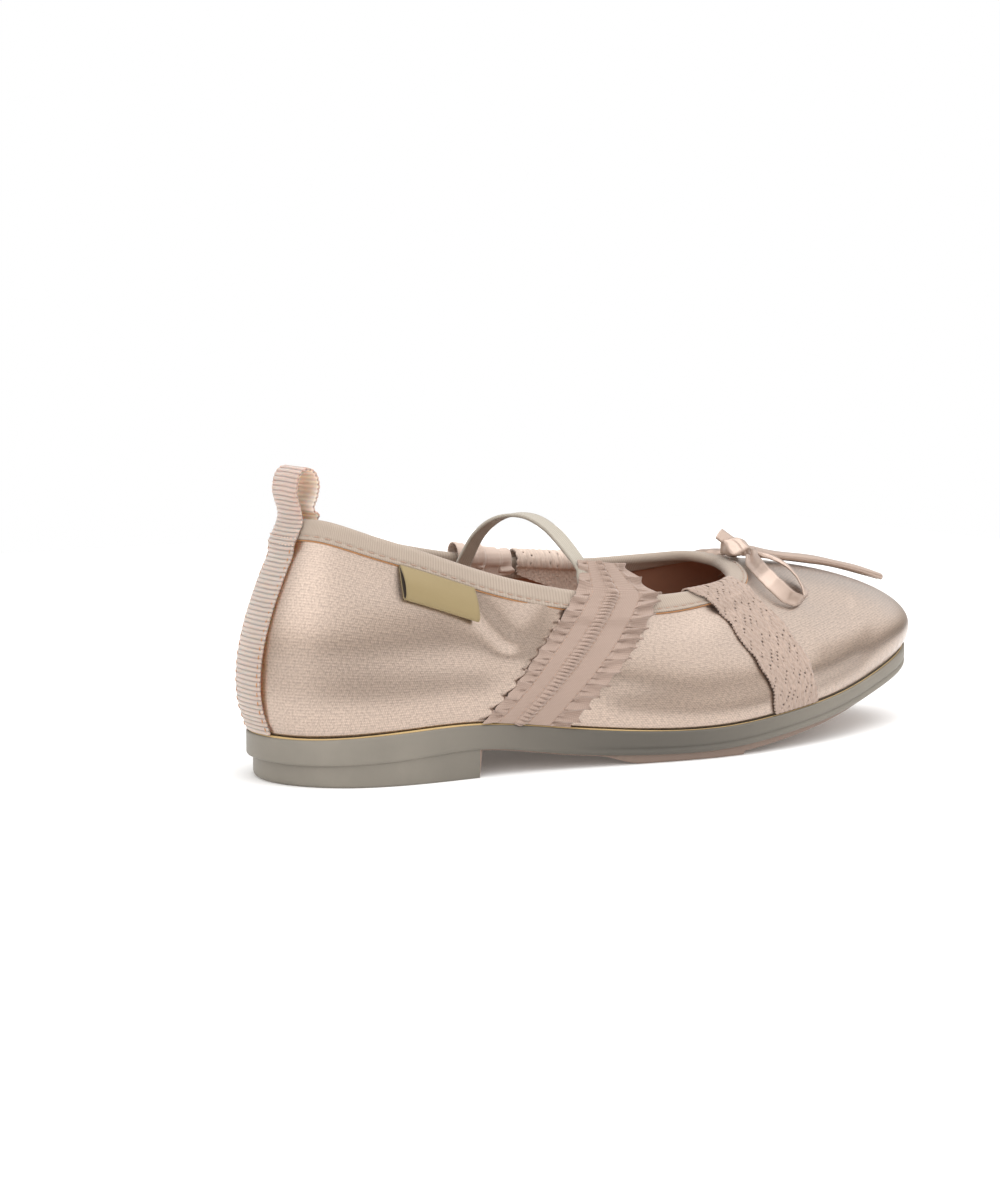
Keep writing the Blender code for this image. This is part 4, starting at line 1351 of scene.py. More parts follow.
@dataclass
class Binding(Trim):
    """Ribbed tape folded over the collar's edge, sewn near its lower edge."""

    outside: float = 5.2
    inside: float = 5.4
    tape: float = 0.7
    seam: float = 3.9
    stitch_pitch: float = 3.4

    def lift(self, run: Array) -> Array:
        """Height of the tape's outer face off the wall.

        Args:
            run: Along the wall, below zero outside the shoe.

        Returns:
            Millimetres.
        """
        face = self.last.gap + self.tape - 0.05
        edge = ease(-run, self.outside - 0.5, self.outside + 0.2)
        return face - 0.22 * bell(run, -self.seam, 0.45) - 0.3 * edge

    def build(self) -> None:
        """Makes the tape, a rust-brown bead under its lower edge as a painted shadow line, and its stitches.
        """
        last = self.last
        runs = np.concatenate([np.linspace(-self.outside, -self.seam + 0.8, 10), np.linspace(-2.6, 0.0, 6),
                               np.linspace(0.5, last.crown, 6),
                               last.crown + np.linspace(0.8, self.inside, 6)])

        def place(u: Array, v: Array) -> Array:
            """Carries the tape's section round the collar."""
            run = runs[np.rint(v * (len(runs) - 1)).astype(int)]
            return last.rim(u * FULL_TURN, run, self.lift(run))

        piece = grid_piece("binding_tape", (520, len(runs) - 1), place, (500.0, 15.0), last, closed=True)
        thicken(piece, self.tape - 0.1, -1.0)
        self.dress(piece, self.finishes.tape, Slot.BINDING, ("collar_binding",))

        def edge(u: Array, v: Array) -> Array:
            """Carries a thin bead along the tape's lower edge, as a painted shadow line."""
            turn = v * FULL_TURN
            return last.rim(u * FULL_TURN, -self.outside - 0.12 + 0.25 * np.cos(turn),
                            0.25 + 0.25 * np.sin(turn))

        # Painted shadow: a rust-brown bead under the tape's lower edge.
        cord = grid_piece("binding_edge_shadow", (420, 6), edge, (500.0, 2.0), last, closed=True)
        self.dress(cord, self.finishes.rust_and_painted_shadow, Slot.BINDING)
        self.sew()

    def sew(self) -> None:
        """Sews round the collar, outside."""
        last = self.last
        angles = np.linspace(0.0, FULL_TURN, 1200)
        run = distances(last.rim(angles, -self.seam, 0.0))
        at = np.interp(np.arange(int(run[-1] / self.stitch_pitch)) * self.stitch_pitch, run, angles)
        low = last.rim(at, -self.seam, 0.82)
        normals = unit(last.rim(at, -self.seam, 1.0) - low)
        stitches = Stitches()
        stitches.run(last.to_metres(low), normals, 2.2, 0.38)
        self.dress(stitches.piece("binding_stitches"), self.finishes.thread, Slot.BINDING)


@dataclass
class HeelRibbon(Trim):
    """Grosgrain ribbon: up the back seam, over as a pull loop, and down inside the collar.

    Its places are depths below the collar's edge on the heel, the side view of the loop, x and z, and the
    inner leg's depths. Above the collar the ribbon's edges stand bow millimetres forward of its middle.
    """

    width: float = 15.6
    thick: float = 0.9
    rib: float = 1.42
    rib_depth: float = 0.2
    bow: float = 2.1
    inner: tuple[float, float] = (1.5, 9.0)
    loop: tuple[tuple[float, float], ...] = (
        (11.4, 81.4), (11.5, 84.0), (11.1, 87.2), (11.2, 90.6), (12.4, 94.4), (15.1, 96.0),
        (17.8, 94.4), (18.8, 90.6), (17.8, 87.0), (16.4, 84.6), (16.2, 83.2), (17.5, 81.5))
    depths: tuple[float, ...] = (58.0, 52.0, 46.0, 40.0, 34.0, 28.0, 22.0, 16.5, 11.0, 7.2, 3.8, 0.6)

    def middle_sheet(self, columns: int, rows: int) -> Array:
        """Middle of the ribbon's thickness.

        Args:
            columns: Points across it.
            rows: Points along it.

        Returns:
            Grid of points in millimetres.
        """
        last = self.last
        across = np.linspace(-0.5, 0.5, columns) * self.width
        half = self.thick / 2.0
        depths = np.append(last.depth_at(np.zeros(1), np.zeros(1)) - 0.6, self.depths)
        depth, y = np.meshgrid(depths, across, indexing="ij")
        rise = last.rise_at(np.zeros_like(depth), depth)
        angle = last.angle_across(y, rise)
        lift = last.clearance(depth) + half
        outer = last.face(angle, rise) + last.normal(angle, rise) * lift[..., None]
        path = smooth_path([(x, 0.0, z) for x, z in self.loop], 22)
        bow = self.bow * (1.0 - 0.8 * ease(path[:, 2], 79.0, 90.0))
        bow *= 1.0 - 0.15 * ease(path[:, 0], 12.0, 16.0)
        loop = np.repeat(path[:, None, :], columns, axis=1)
        loop[..., 0] += bow[:, None] * (across / across[-1]) ** 2
        loop[..., 1] += across
        depth, y = np.meshgrid(np.linspace(*self.inner, 4), across * 0.9, indexing="ij")
        inside = last.rim(last.angle_across(y, np.ones_like(y)), last.crown + depth, last.over_binding + half)
        coarse = np.concatenate([outer, loop, inside])
        return np.stack([smooth_path(coarse[:, k], rows) for k in range(columns)], axis=1)

    def build(self) -> None:
        """Makes the ribbon with its ribs, and the threads that hold it."""
        rows, columns = 760, 18
        sheet = self.middle_sheet(columns + 1, rows + 1)
        normals = sheet_normals(sheet)
        run = distances(sheet[:, columns // 2])
        across = np.linspace(-1.0, 1.0, columns + 1)
        ribs = np.abs(np.sin(math.pi * np.linspace(0.0, run[-1], rows + 1) / self.rib)) ** 0.6
        edge = 0.55 + 0.45 * (1.0 - ease(np.abs(across), 0.86, 0.97))
        sheet = sheet + normals * (self.rib_depth * (2.0 * ribs[:, None] - 1.0) * edge)[..., None]
        sheet[..., 1] += 0.28 * (ribs[:, None] - 0.5) * np.sign(across) * ease(np.abs(across), 0.9, 1.0)
        piece = sheet_piece("heel_grosgrain", sheet, (run[-1], self.width), self.last)
        thicken(piece, self.thick - 0.25, 0.0)
        # The shell that the thickness adds takes the much lighter grosgrain: painted light on that face of the
        # ribbon.
        piece.modifiers["thickness"].material_offset = 1
        self.dress(piece, self.finishes.grosgrain, Slot.HEEL_RIBBON, ("heel_ribbon",))
        piece.data.materials.append(self.finishes.grosgrain_painted_light)
        self.sew(sheet, normals, run)

    def sew(self, sheet: Array, normals: Array, run: Array) -> None:
        """Threads along both edges on the heel, and two rows across the loop's neck.

        Args:
            sheet: Grid of points on the ribbon.
            normals: Its unit normals.
            run: Distance along it of each row.
        """
        stitches = Stitches()
        columns = sheet.shape[1] - 1
        neck = float(run[np.argmin(np.abs(sheet[:400, columns // 2, 2] - 79.6))])
        rows = [int(np.argmin(np.abs(run - s))) for s in np.arange(2.0, neck - 1.0, 2.8)]
        for column in (1, columns - 1):
            points = sheet[rows, column] + normals[rows, column] * (self.thick / 2.0 - 0.05)
            stitches.run(self.last.to_metres(points), normals[rows, column], 1.5, 0.42)
        self.dress(stitches.piece("heel_stitches"), self.finishes.rust_and_painted_shadow, Slot.HEEL_RIBBON)
        stitches = Stitches()
        for s in (neck - 1.0, neck + 1.1):
            row = int(np.argmin(np.abs(run - s)))
            line = smooth_path(sheet[row] + normals[row] * (self.thick / 2.0), 12)
            upright = np.repeat(normals[row, columns // 2][None], len(line), 0)
            stitches.run(self.last.to_metres(line), upright, 0.8, 0.5)
        self.dress(stitches.piece("neck_stitches"), self.finishes.pale_thread, Slot.HEEL_RIBBON)


@dataclass(frozen=True)
class BandRow:
    """Row of a trim up the wall: its rise, millimetres past the wall's edge, and the trim's two edges."""

    rise: float
    above: float
    rear: float
    front: float


RUFFLE_LATERAL = (BandRow(0.01, 0.0, 63.0, 94.0), BandRow(0.25, 0.0, 73.0, 102.0),
                  BandRow(0.50, 0.0, 81.0, 112.5), BandRow(0.75, 0.0, 89.5, 123.0),
                  BandRow(1.00, 0.0, 97.5, 131.0), BandRow(1.00, 4.0, 99.5, 128.0),
                  BandRow(1.00, 11.5, 101.0, 121.0))
RUFFLE_MEDIAL = (BandRow(0.01, 0.0, 52.0, 84.0), BandRow(0.50, 0.0, 68.0, 98.0),
                 BandRow(1.00, 0.0, 86.5, 108.0))
LACE_LATERAL = (BandRow(0.01, 0.0, 168.5, 188.5), BandRow(0.25, 0.0, 166.0, 186.0),
                BandRow(0.50, 0.0, 159.5, 180.5), BandRow(0.75, 0.0, 154.5, 174.0),
                BandRow(1.00, 0.0, 146.0, 168.0))
LACE_MEDIAL = (BandRow(0.01, 0.0, 150.0, 170.0), BandRow(0.50, 0.0, 132.0, 154.0),
               BandRow(1.00, 0.0, 110.0, 134.0))


@dataclass(frozen=True)
class Fold:
    """Way of a trim over the collar's edge: depths inside of its two edges, and how far it stands proud."""

    rear: float
    front: float
    proud: float


LACE_FOLD = Fold(7.0, 7.0, 0.0)
LACE_FOLD_MEDIAL = Fold(3.5, 11.5, 2.0)
RUFFLE_FOLD = Fold(5.5, 4.0, 1.8)


@dataclass
class Band(Trim):
    """A trim that runs up one side of the foot."""

    name: str
    side: Side
    rows: tuple[BandRow, ...]
    node: str

    def at(self, spread: Array) -> tuple[Array, Array, Array, Array, Array]:
        """Places along the trim.

        Args:
            spread: Fractions of its length.

        Returns:
            Arrays of rise, millimetres past the edge, rear edge, front edge and distance along.
        """
        wall_run = self.last.wall_run
        table = np.array([(row.rise * wall_run, row.above, row.rear, row.front) for row in self.rows])
        middle = np.column_stack([table[:, 0] + table[:, 1], (table[:, 2] + table[:, 3]) / 2.0])
        run = distances(middle)
        fine = smooth_path(np.column_stack([run, 0.0 * run, 0.0 * run, table]), 200)
        wanted = spread * run[-1]
        values = [np.interp(wanted, fine[:, 0], fine[:, 3 + k]) for k in range(4)]
        return values[0] / wall_run, np.maximum(values[1], 0.0), values[2], values[3], wanted

    def over_edge(self, fold: Fold, x: Array, share: Array, along: Array, height: Array) -> Array:
        """Points of the trim over the collar's edge and down inside it.

        Args:
            fold: How it goes over.
            x: Distances from the back of the sole.
            share: Across the trim, 0 at its rear edge and 1 at its front edge.
            along: 0 at the collar's edge, 1 at the trim's end inside.
            height: Height over the binding.

        Returns:
            Points in millimetres.
        """
        last = self.last
        depth = fold.rear + (fold.front - fold.rear) * share
        run = along * (last.crown + depth)
        proud = fold.proud * bell(run, 0.45 * last.crown, 0.55 * last.crown)
        angle = last.angle_at(self.side, x, np.ones(len(x)))
        return last.rim(angle, run, last.over_binding + height + proud)


@dataclass
class Ruffle(Band):
    """Ruffled band: two frills, two flat stretches and a gathered ridge, with seams between them."""

    shape: tuple[int, int] = (420, 90)
    frill_pitch: float = 5.6
    gather_pitch: float = 1.8
    fold: Fold | None = None
    rear_seam: float = -0.68
    front_seam: float = 0.53
    ridge: float = -0.16

    def height(self, run: Array, across: Array) -> tuple[Array, Array, Array]:
        """Relief of the band.

        Args:
            run: Millimetres along it.
            across: From -1 at its rear edge to 1 at its front edge.

        Returns:
            Height, shift along the foot and shift along the band, in millimetres.
        """
        # The frills, from 0 at their seam to 1 at their free edge: uneven pleats, and creases at the seam.
        rear = np.clip((self.rear_seam - across) / (1.0 + self.rear_seam), 0.0, 1.0)
        front = np.clip((across - self.front_seam) / (1.0 - self.front_seam), 0.0, 1.0)
        frill = rear + front
        drift = 1.1 * np.sin(run / 7.3 + 0.6) + 0.8 * np.sin(run / 3.9 + 2.0 * front)
        phase = FULL_TURN * (run + 2.3 * (front > 0.0)) / self.frill_pitch + drift
        wave = np.sin(phase + 0.55 * np.sin(phase))
        marks = np.abs(np.sin(math.pi * run / 3.6 + 1.1 * np.sin(run / 4.1) + 1.4 * (front > 0.0)))
        small = -0.75 * np.exp(-(marks / 0.30) ** 2) * np.exp(-(frill / 0.45) ** 2) * (frill > 0.0)
        grow = np.where(frill > 0.0, 0.35 + 0.65 * np.sqrt(frill), 0.0)
        swell = 1.0 + 0.35 * np.sin(run / 8.5 + 1.0)
        pleats = grow * (0.50 + 0.60 * wave * swell) + small - 0.25 * rear ** 2
        pleats += 0.25 * grow * (front > 0.0) * (1.0 + wave)
        # The gathered ridge, with weaker folds beside it.
        ridge = bell(across, self.ridge, 0.11)
        fold = np.abs(np.sin(math.pi * run / self.gather_pitch + 0.9 * np.sin(run / 4.7) + 2.4 * across))
        gathers = ridge * (0.10 + 1.35 * np.sqrt(fold))
        near = bell(across, self.ridge, 0.20) - ridge
        gathers += 0.16 * near * np.sin(FULL_TURN * run / (2.0 * self.gather_pitch) + 2.0 * np.sin(run / 5.0))
        # The stitched lines press the cloth down, and the flat stretches stand between them.
        seams = bell(across, self.rear_seam, 0.022) + bell(across, self.front_seam, 0.022)
        sides = bell(across, self.ridge - 0.15, 0.018) + bell(across, self.ridge + 0.15, 0.018)
        flat = 0.55 * (1.0 - np.clip(frill * 4.0, 0.0, 1.0))
        height = 0.25 + flat + pleats + gathers - 0.3 * seams - 0.22 * sides
        sway = frill ** 1.2 * (0.55 * wave + 0.25 * np.sin(run * 1.9)) * np.sign(across)
        lean = 0.9 * frill * np.cos(phase)
        return height, sway, lean

    def build(self) -> None:
        """Makes the band and its four rows of stitches."""
        last = self.last
        outer = self.at(np.array([1.0]))[4][0]
        total = outer + (last.crown + self.fold.front if self.fold else 0.0)

        def sheet(u: Array, across: Array, extra: float = 0.0) -> tuple[Array, Array]:
            """Points and normals of the band, extra millimetres off it."""
            run = u * total
            height, sway, lean = self.height(run, across)
            spread = run / outer
            ends = ease(spread, 0.0, 0.05) * ease(1.0 - spread, 0.0, 0.05)
            rise, above, rear, front, _ = self.at(np.clip(spread + lean / outer * ends, 0.0, 1.0))
            x = (rear + front) / 2.0 + (front - rear) / 2.0 * across + sway
            point, normal, clear, _ = last.on_wall(self.side, rise, above, x)
            points = point + normal * (clear + height + extra)[:, None]
            if self.fold:
                along = np.clip((run - outer) / (total - outer), 0.0, 1.0)
                folded = self.over_edge(self.fold, x, (across + 1.0) / 2.0, along, height + extra)
                points = np.where((run > outer)[:, None], folded, points)
            return points, normal

        def place(u: Array, v: Array) -> Array:
            """Carries the grid up the wall; on the medial side it is turned to face out."""
            across = u if self.side is Side.LATERAL else 1.0 - u
            return sheet(v, 2.0 * across - 1.0)[0]

        piece = grid_piece(self.name, (self.shape[1], self.shape[0]), place, (31.0, total), last)
        thicken(piece, 0.4, -1.0)
        # The medial ruffle takes the paler copy of the cotton: painted light.
        finish = self.finishes.cotton if self.side is Side.LATERAL else self.finishes.cotton_painted_light
        self.dress(piece, finish, Slot.RUFFLE, (self.node,))
        stitches = Stitches()
        for seam in (self.rear_seam + 0.035, self.front_seam - 0.035, self.ridge - 0.17, self.ridge + 0.17):
            count = int(outer / 1.9)
            spread = (np.arange(count) + 0.5) / count * outer / total
            points, normals = sheet(spread, np.full(count, seam), -0.06)
            stitches.run(last.to_metres(points), normals, 1.1, 0.32)
        self.dress(stitches.piece(self.name + "_stitches"), self.finishes.thread, Slot.RUFFLE)


# Slits of the lace, a row for each step along it and a mark for each step across: o is a slit.
LACE_CHART = (
    "........................",
    "...o...o..........o.....",
    "....o...o..o.......o....",
    "......o..o..o.......o...",
    ".......o..o......o......",
    "...o....o..o......o..o..",
    "....o....o.........o....",
    "..............o.........",
    ".o.....o.......o..o...o.",
    "..o.....o.......o..o....",
    "...o.....o...o...o...o..",
    "..........o...o.........",
)


@dataclass
class Lace(Band):
    """Cotton lace: groups of small slits and finely looped edges, folded over the collar's edge."""

    fold: Fold = LACE_FOLD
    cell: float = 1.3
    thick: float = 0.55
    cuts: tuple[int, int] = (2, 5)
    loop_pitch: float = 1.3
    cords: float = 9.0
    slit: tuple[int, ...] = (1, 2, 3)

    def build(self) -> None:
        """Makes the band, its slits cut through."""
        last = self.last
        outer = self.at(np.array([1.0]))[4][0]
        total = outer + last.crown + self.fold.front
        wide = len(LACE_CHART[0])
        long = int(round(total / self.cell))
        shape = (wide * self.cuts[0], long * self.cuts[1])
        _, _, edge_rear, edge_front, _ = self.at(np.array([1.0]))

        def place(u: Array, v: Array) -> Array:
            """Carries the grid up the wall and over its edge."""
            run = v * total
            across = u if self.side is Side.LATERAL else 1.0 - u
            loops = 0.5 * np.abs(np.sin(math.pi * run / self.loop_pitch)) - 0.3 + 0.3 * np.sin(run / 2.2)
            side = np.where(across < 0.01, -loops, np.where(across > 0.99, loops, 0.0))
            rise, above, rear, front, _ = self.at(np.clip(run / outer, 0.0, 1.0))
            x = rear + (front - rear) * across + side
            point, normal, clear, _ = last.on_wall(self.side, rise, above, x)
            cords = np.sin(FULL_TURN * (across * self.cords + 0.35 * np.sin(run / 2.4)))
            knots = np.sin(FULL_TURN * run / 2.6) * np.cos(FULL_TURN * across * self.cords)
            thread = 0.10 * cords + 0.08 * knots
            outside = point + normal * (clear + self.thick + thread)[:, None]
            x_edge = edge_rear + (edge_front - edge_rear) * across + side
            along = np.clip((run - outer) / (total - outer), 0.0, 1.0)
            folded = self.over_edge(self.fold, x_edge, across, along, self.thick + thread)
            return np.where((run > outer)[:, None], folded, outside)

        piece = grid_piece(self.name, shape, place, (20.0, total), last)
        self.cut(piece, shape)
        thicken(piece, self.thick, -1.0)
        # The medial lace takes the paler copy of the lace: painted light.
        finish = self.finishes.lace if self.side is Side.LATERAL else self.finishes.lace_painted_light
        self.dress(piece, finish, Slot.LACE, (self.node,))

    def cut(self, piece: bpy.types.Object, shape: tuple[int, int]) -> None:
        """Cuts the chart's slits.

        Args:
            piece: The band.
            shape: Its quads across and along.
        """
        bm = bmesh.new()
        bm.from_mesh(piece.data)
        bm.faces.ensure_lookup_table()
        gone = []
        for j in range(shape[1] // self.cuts[1]):
            for i, mark in enumerate(LACE_CHART[j % len(LACE_CHART)]):
                if mark == "o":
                    start = j * self.cuts[1] * shape[0] + i * self.cuts[0]
                    gone += [bm.faces[start + k * shape[0]] for k in self.slit]
        bmesh.ops.delete(bm, geom=gone, context="FACES_ONLY")
        bm.to_mesh(piece.data)
        bm.free()
        piece.data.shade_smooth()


@dataclass
class Elastic(Trim):
    """Narrow woven elastic that springs over the instep from one ruffle to the other."""

    width: float = 5.4
    thick: float = 1.15
    # Middle line from the lateral to the medial side, and how far the front edge dips below the rear edge.
    arch: tuple[tuple[float, float, float, float], ...] = (
        (100.9, -17.5, 70.8, 0.2), (99.0, -12.0, 74.9, 0.2), (96.9, -5.5, 77.5, 0.0), (93.9, 1.0, 77.8, -0.3),
        (91.0, 7.0, 75.8, -0.6), (89.0, 13.0, 71.3, -0.8), (87.9, 17.4, 65.8, -0.8))
    lateral_foot: float = 103.2
    lateral_above: tuple[float, ...] = (3.0, 6.2, 9.2)
    medial_foot: float = 87.3
    medial_depths: tuple[float, ...] = (3.0, 9.0)
    medial_lift: float = 3.9

    def build(self) -> None:
        """Makes the elastic."""
        last = self.last
        columns, rows = 12, 140
        wide = np.linspace(-0.5, 0.5, columns + 1) * self.width
        clear = last.over_binding - last.gap - self.thick / 2.0
        point, normal, _, _ = last.on_wall(Side.LATERAL, 1.0, np.array(self.lateral_above)[:, None],
                                           self.lateral_foot + wide)
        lateral = point + normal * clear
        angle = last.angle_at(Side.MEDIAL, self.medial_foot + wide, np.ones(len(wide)))
        medial = last.rim(angle, last.crown + np.array(self.medial_depths)[:, None], self.medial_lift)
        table = np.array(self.arch)[:, None, :]
        tilt = table[..., 3] * wide / self.width
        arch = table[..., :3] + np.stack([wide + 0.0 * tilt, 0.0 * tilt, -tilt], -1)
        coarse = np.concatenate([lateral, arch, medial])
        sheet = np.stack([smooth_path(coarse[:, k], rows + 1) for k in range(columns + 1)], axis=1)
        across = np.linspace(-1.0, 1.0, columns + 1)
        sheet = sheet - sheet_normals(sheet) * (0.12 * across ** 2)[None, :, None]
        piece = sheet_piece("elastic", sheet, (62.0, self.width), last)
        thicken(piece, self.thick, 0.0)
        self.dress(piece, self.finishes.elastic, Slot.ELASTIC, ("instep_elastic",))


@dataclass
class Label(Trim):
    """Small folded label with a blank face, caught under the binding.

    The fold gives depths below the collar's edge and heights off the wall, from its back layer to its face,
    which stands bulge millimetres further out at its open rear end.
    """

    ends: tuple[float, float] = (37.2, 61.0)
    fold: tuple[tuple[float, float], ...] = (
        (5.3, 0.55), (9.8, 0.5), (14.2, 0.55), (15.2, 1.0), (15.4, 1.7), (15.0, 2.4), (14.0, 2.8), (9.8, 2.6),
        (5.3, 1.5))
    bulge: float = 1.5

    def build(self) -> None:
        """Makes the label, its face light, with a layer inside its fold painted dark as painted shade."""
        last = self.last
        steps = 32
        path = smooth_path([(depth, lift, 0.0) for depth, lift in self.fold], steps + 1)

        def place(u: Array, v: Array) -> Array:
            """Carries the fold along the wall."""
            depth, lift, _ = path[np.rint(v * steps).astype(int)].T
            x = self.ends[0] + (self.ends[1] - self.ends[0]) * u
            angle = last.angle_at(Side.LATERAL, x, 1.0 - depth / last.wall_run)
            open_rear = self.bulge * (1.0 - u) ** 2 * np.sin(FULL_TURN * np.maximum(v - 0.5, 0.0))
            return last.rim(angle, -depth, lift + open_rear)

        piece = grid_piece("label", (24, steps), place, (24.0, 20.0), last)
        thicken(piece, 0.42, 0.0)
        self.dress(piece, self.finishes.label, Slot.LABEL, ("side_label",))

        def inside(u: Array, v: Array) -> Array:
            """Carries a second layer inside the fold, which is painted dark as painted shade."""
            return place(0.005 + 0.97 * u, v)

        # Painted shade: a near-black layer inside the fold.
        shade_layer = grid_piece("label_shade_layer", (24, steps), inside, (24.0, 20.0), last)
        thicken(shade_layer, 0.45, -1.0)
        self.dress(shade_layer, self.finishes.label_painted_shade, Slot.LABEL)


@dataclass(frozen=True)
class Turn:
    """Place on a bow loop's lower edge: x, distance out from the knot's line and height off the upper.

    Width is a fraction of the ribbon's. A roll of 0 stands the ribbon up on its edge, and 1 lays it flat over
    the vamp.
    """

    x: float
    out: float
    lift: float
    width: float
    roll: float


@dataclass
class Bow(Trim):
    """Satin ribbon bow: a loop to each side, the knot, a long tail over the vamp and a short end.

    From a loop's lower edge its upper edge lies in the direction lean where the ribbon stands, and laid where
    it lies flat.
    """

    line: float = 2.5
    width: float = 6.3
    lean: tuple[float, float, float] = (0.85, 0.08, 0.52)
    laid: tuple[float, float, float] = (0.50, 0.84, 0.16)
    turns: tuple[Turn, ...] = (
        Turn(184.6, 5.9, 3.6, 0.8, 0.0), Turn(181.2, 10.8, 2.3, 1.0, 0.0), Turn(178.6, 17.5, 2.0, 1.0, 0.0),
        Turn(178.2, 23.2, 2.0, 1.0, 0.0), Turn(180.2, 26.8, 1.6, 1.0, 0.0), Turn(183.5, 28.6, 1.1, 1.0, 0.05),
        Turn(187.6, 28.8, 0.9, 1.0, 0.2), Turn(191.4, 27.6, 1.0, 1.0, 0.45), Turn(194.4, 24.6, 1.8, 0.9, 0.8),
        Turn(194.8, 20.4, 3.2, 0.8, 1.0), Turn(193.2, 16.0, 4.4, 0.7, 1.0), Turn(190.8, 11.0, 4.8, 0.6, 1.0),
        Turn(187.6, 6.4, 4.4, 0.5, 0.8))
    knot: tuple[float, float, float] = (186.0, 2.0, 62.2)
    # Soft faces of the knot: direction and distance from its middle.
    facets: tuple[tuple[float, float, float, float], ...] = (
        (-0.35, -0.60, 0.75, 2.9), (0.60, -0.45, 0.70, 3.2), (0.10, -1.0, -0.25, 4.1), (0.0, 1.0, 0.25, 4.6),
        (0.1, 0.3, 1.0, 3.5), (0.0, 0.0, -1.0, 2.3), (-1.0, 0.1, -0.1, 5.3), (1.0, 0.1, -0.3, 4.9))
    crispness: float = 9.0
    tail: tuple[tuple[float, float, float], ...] = (
        (188.0, 3.0, 62.2), (194.0, 3.3, 60.4), (200.6, 3.4, 59.0), (213.8, 3.6, 57.1), (224.0, 3.8, 55.4),
        (236.3, 4.0, 52.6), (245.0, 4.2, 50.2), (250.6, 4.4, 48.5))
    short_end: tuple[tuple[float, float, float], ...] = (
        (186.4, 2.8, 62.4), (184.4, 4.0, 64.0), (182.5, 5.3, 65.6), (180.7, 6.5, 67.2))

    def strip(self, name: str, sheet: Array, thick: float, nodes: Sequence[str]) -> bpy.types.Object:
        """Ribbon through a grid of points.

        Args:
            name: The object's name.
            sheet: Grid of points in millimetres.
            thick: The ribbon's thickness.
            nodes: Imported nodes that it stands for.

        Returns:
            The piece.
        """
        piece = sheet_piece(name, sheet, ((len(sheet) - 1) * 0.7, self.width), self.last)
        thicken(piece, thick, 0.0)
        return self.dress(piece, self.finishes.ribbon_satin, Slot.BOW, nodes)

    def loop(self, name: str, side: Side, node: str) -> None:
        """One loop.

        Args:
            name: The object's name.
            side: The side that it lies over.
            node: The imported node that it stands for.
        """
        sign = side.value
        coarse, rows = 40, 110
        run = np.linspace(0.0, 1.0, rows)
        table = smooth_path([(turn.x, turn.out, turn.lift, turn.width, turn.roll)
                             for turn in self.turns], coarse)
        points, normals = self.last.vamp(table[:, 0], self.line + sign * table[:, 1])
        flat = 1.0 if side is Side.LATERAL else 0.4
        lower = smooth_path(points + normals * table[:, 2:3] * flat, rows)
        width, roll = (np.interp(run, np.linspace(0.0, 1.0, coarse), table[:, k]) for k in (3, 4))
        turned = np.array(self.lean) + (np.array(self.laid) - np.array(self.lean)) * roll[:, None]
        turned = unit(turned * (1.0, -sign, flat ** 2)) * self.width
        share = np.linspace(0.0, 1.0, 9)
        # The ribbon is cupped across, and pinched into folds at the knot.
        sheet = lower[:, None, :] + turned[:, None, :] * width[:, None, None] * share[None, :, None]
        cup = 0.35 * (share - 0.5) ** 2 * 4.0 - 0.15
        pinch = np.maximum(bell(run, 0.0, 0.16), bell(run, 1.0, 0.16))
        fold = 0.55 * pinch[:, None] * np.cos(3.0 * math.pi * share)[None, :]
        sheet = sheet + sheet_normals(sheet) * (cup[None, :] + fold)[..., None]
        self.strip(name, sheet, 0.5, (node,))

    def tie(self) -> None:
        """Knot: a core with soft folds and a strap of ribbon round it."""
        bm = bmesh.new()
        bmesh.ops.create_icosphere(bm, subdivisions=5, radius=1.0)
        layer = bm.loops.layers.uv.new("UVMap")
        for face in bm.faces:
            for loop in face.loops:
                loop[layer].uv = (loop.vert.co.x * 4.0, loop.vert.co.y * 4.0)
        facets = np.array([(*unit(np.array(facet[:3])), facet[3]) for facet in self.facets])
        for vert in bm.verts:
            aim = np.array(vert.co) / vert.co.length
            near = np.maximum(facets[:, :3] @ aim, 0.0) / facets[:, 3]
            radius = float(np.sum(near ** self.crispness) ** (-1.0 / self.crispness))
            strap = 0.08 * math.exp(-((aim[0] + 0.35 * aim[2]) / 0.36) ** 6)
            folds = 0.025 * math.sin(16.0 * aim[0] + 5.0 * aim[2]) * (1.0 - aim[2] ** 2)
            vert.co = Vector(aim) * (radius * (1.0 + strap + folds))
        bmesh.ops.scale(bm, vec=(MM, MM, MM), verts=bm.verts)
        bmesh.ops.translate(bm, vec=Vector(self.last.to_metres(np.array(self.knot))), verts=bm.verts)
        self.dress(finish_piece("bow_knot_satin", bm), self.finishes.ribbon_satin, Slot.BOW, ("bow_knot",))

    def tails(self) -> None:
        """Long tail, folded along its middle, and the short end."""
        rows = 120
        middle = smooth_path(self.tail, rows)
        turn = np.linspace(-0.5, 0.5, 13) * 1.62 * math.pi
        ring = np.stack([0.0 * turn, 1.8125 * np.sin(turn), 1.15 * np.cos(turn)], -1)
        run = np.linspace(0.0, 1.0, rows)
        full = (1.45 - 0.40 * run + 0.08 * np.sin(run * 17.0)) * (1.0 - 0.3 * bell(run, 0.0, 0.06))
        sheet = middle[:, None, :] + ring[None] * full[:, None, None]
        self.strip("bow_tail_long", sheet, 0.45, ("bow_tail_front",))
        middle = smooth_path(self.short_end, 24)
        across = np.array((0.65, 0.30, 0.43)) * self.width
        share = np.linspace(-0.5, 0.5, 9)
        sheet = middle[:, None, :] + across * share[None, :, None]
        sheet[..., 2] += np.linspace(0.0, 1.0, 24)[:, None] * np.cos(math.pi * share) * 0.5
        self.strip("bow_tail_short", sheet, 0.5, ("bow_tail_back",))

    def build(self) -> None:
        """Makes the bow."""
        self.loop("bow_loop_outer", Side.LATERAL, "bow_loop_lateral")
        self.loop("bow_loop_inner", Side.MEDIAL, "bow_loop_medial")
        self.tie()
        self.tails()


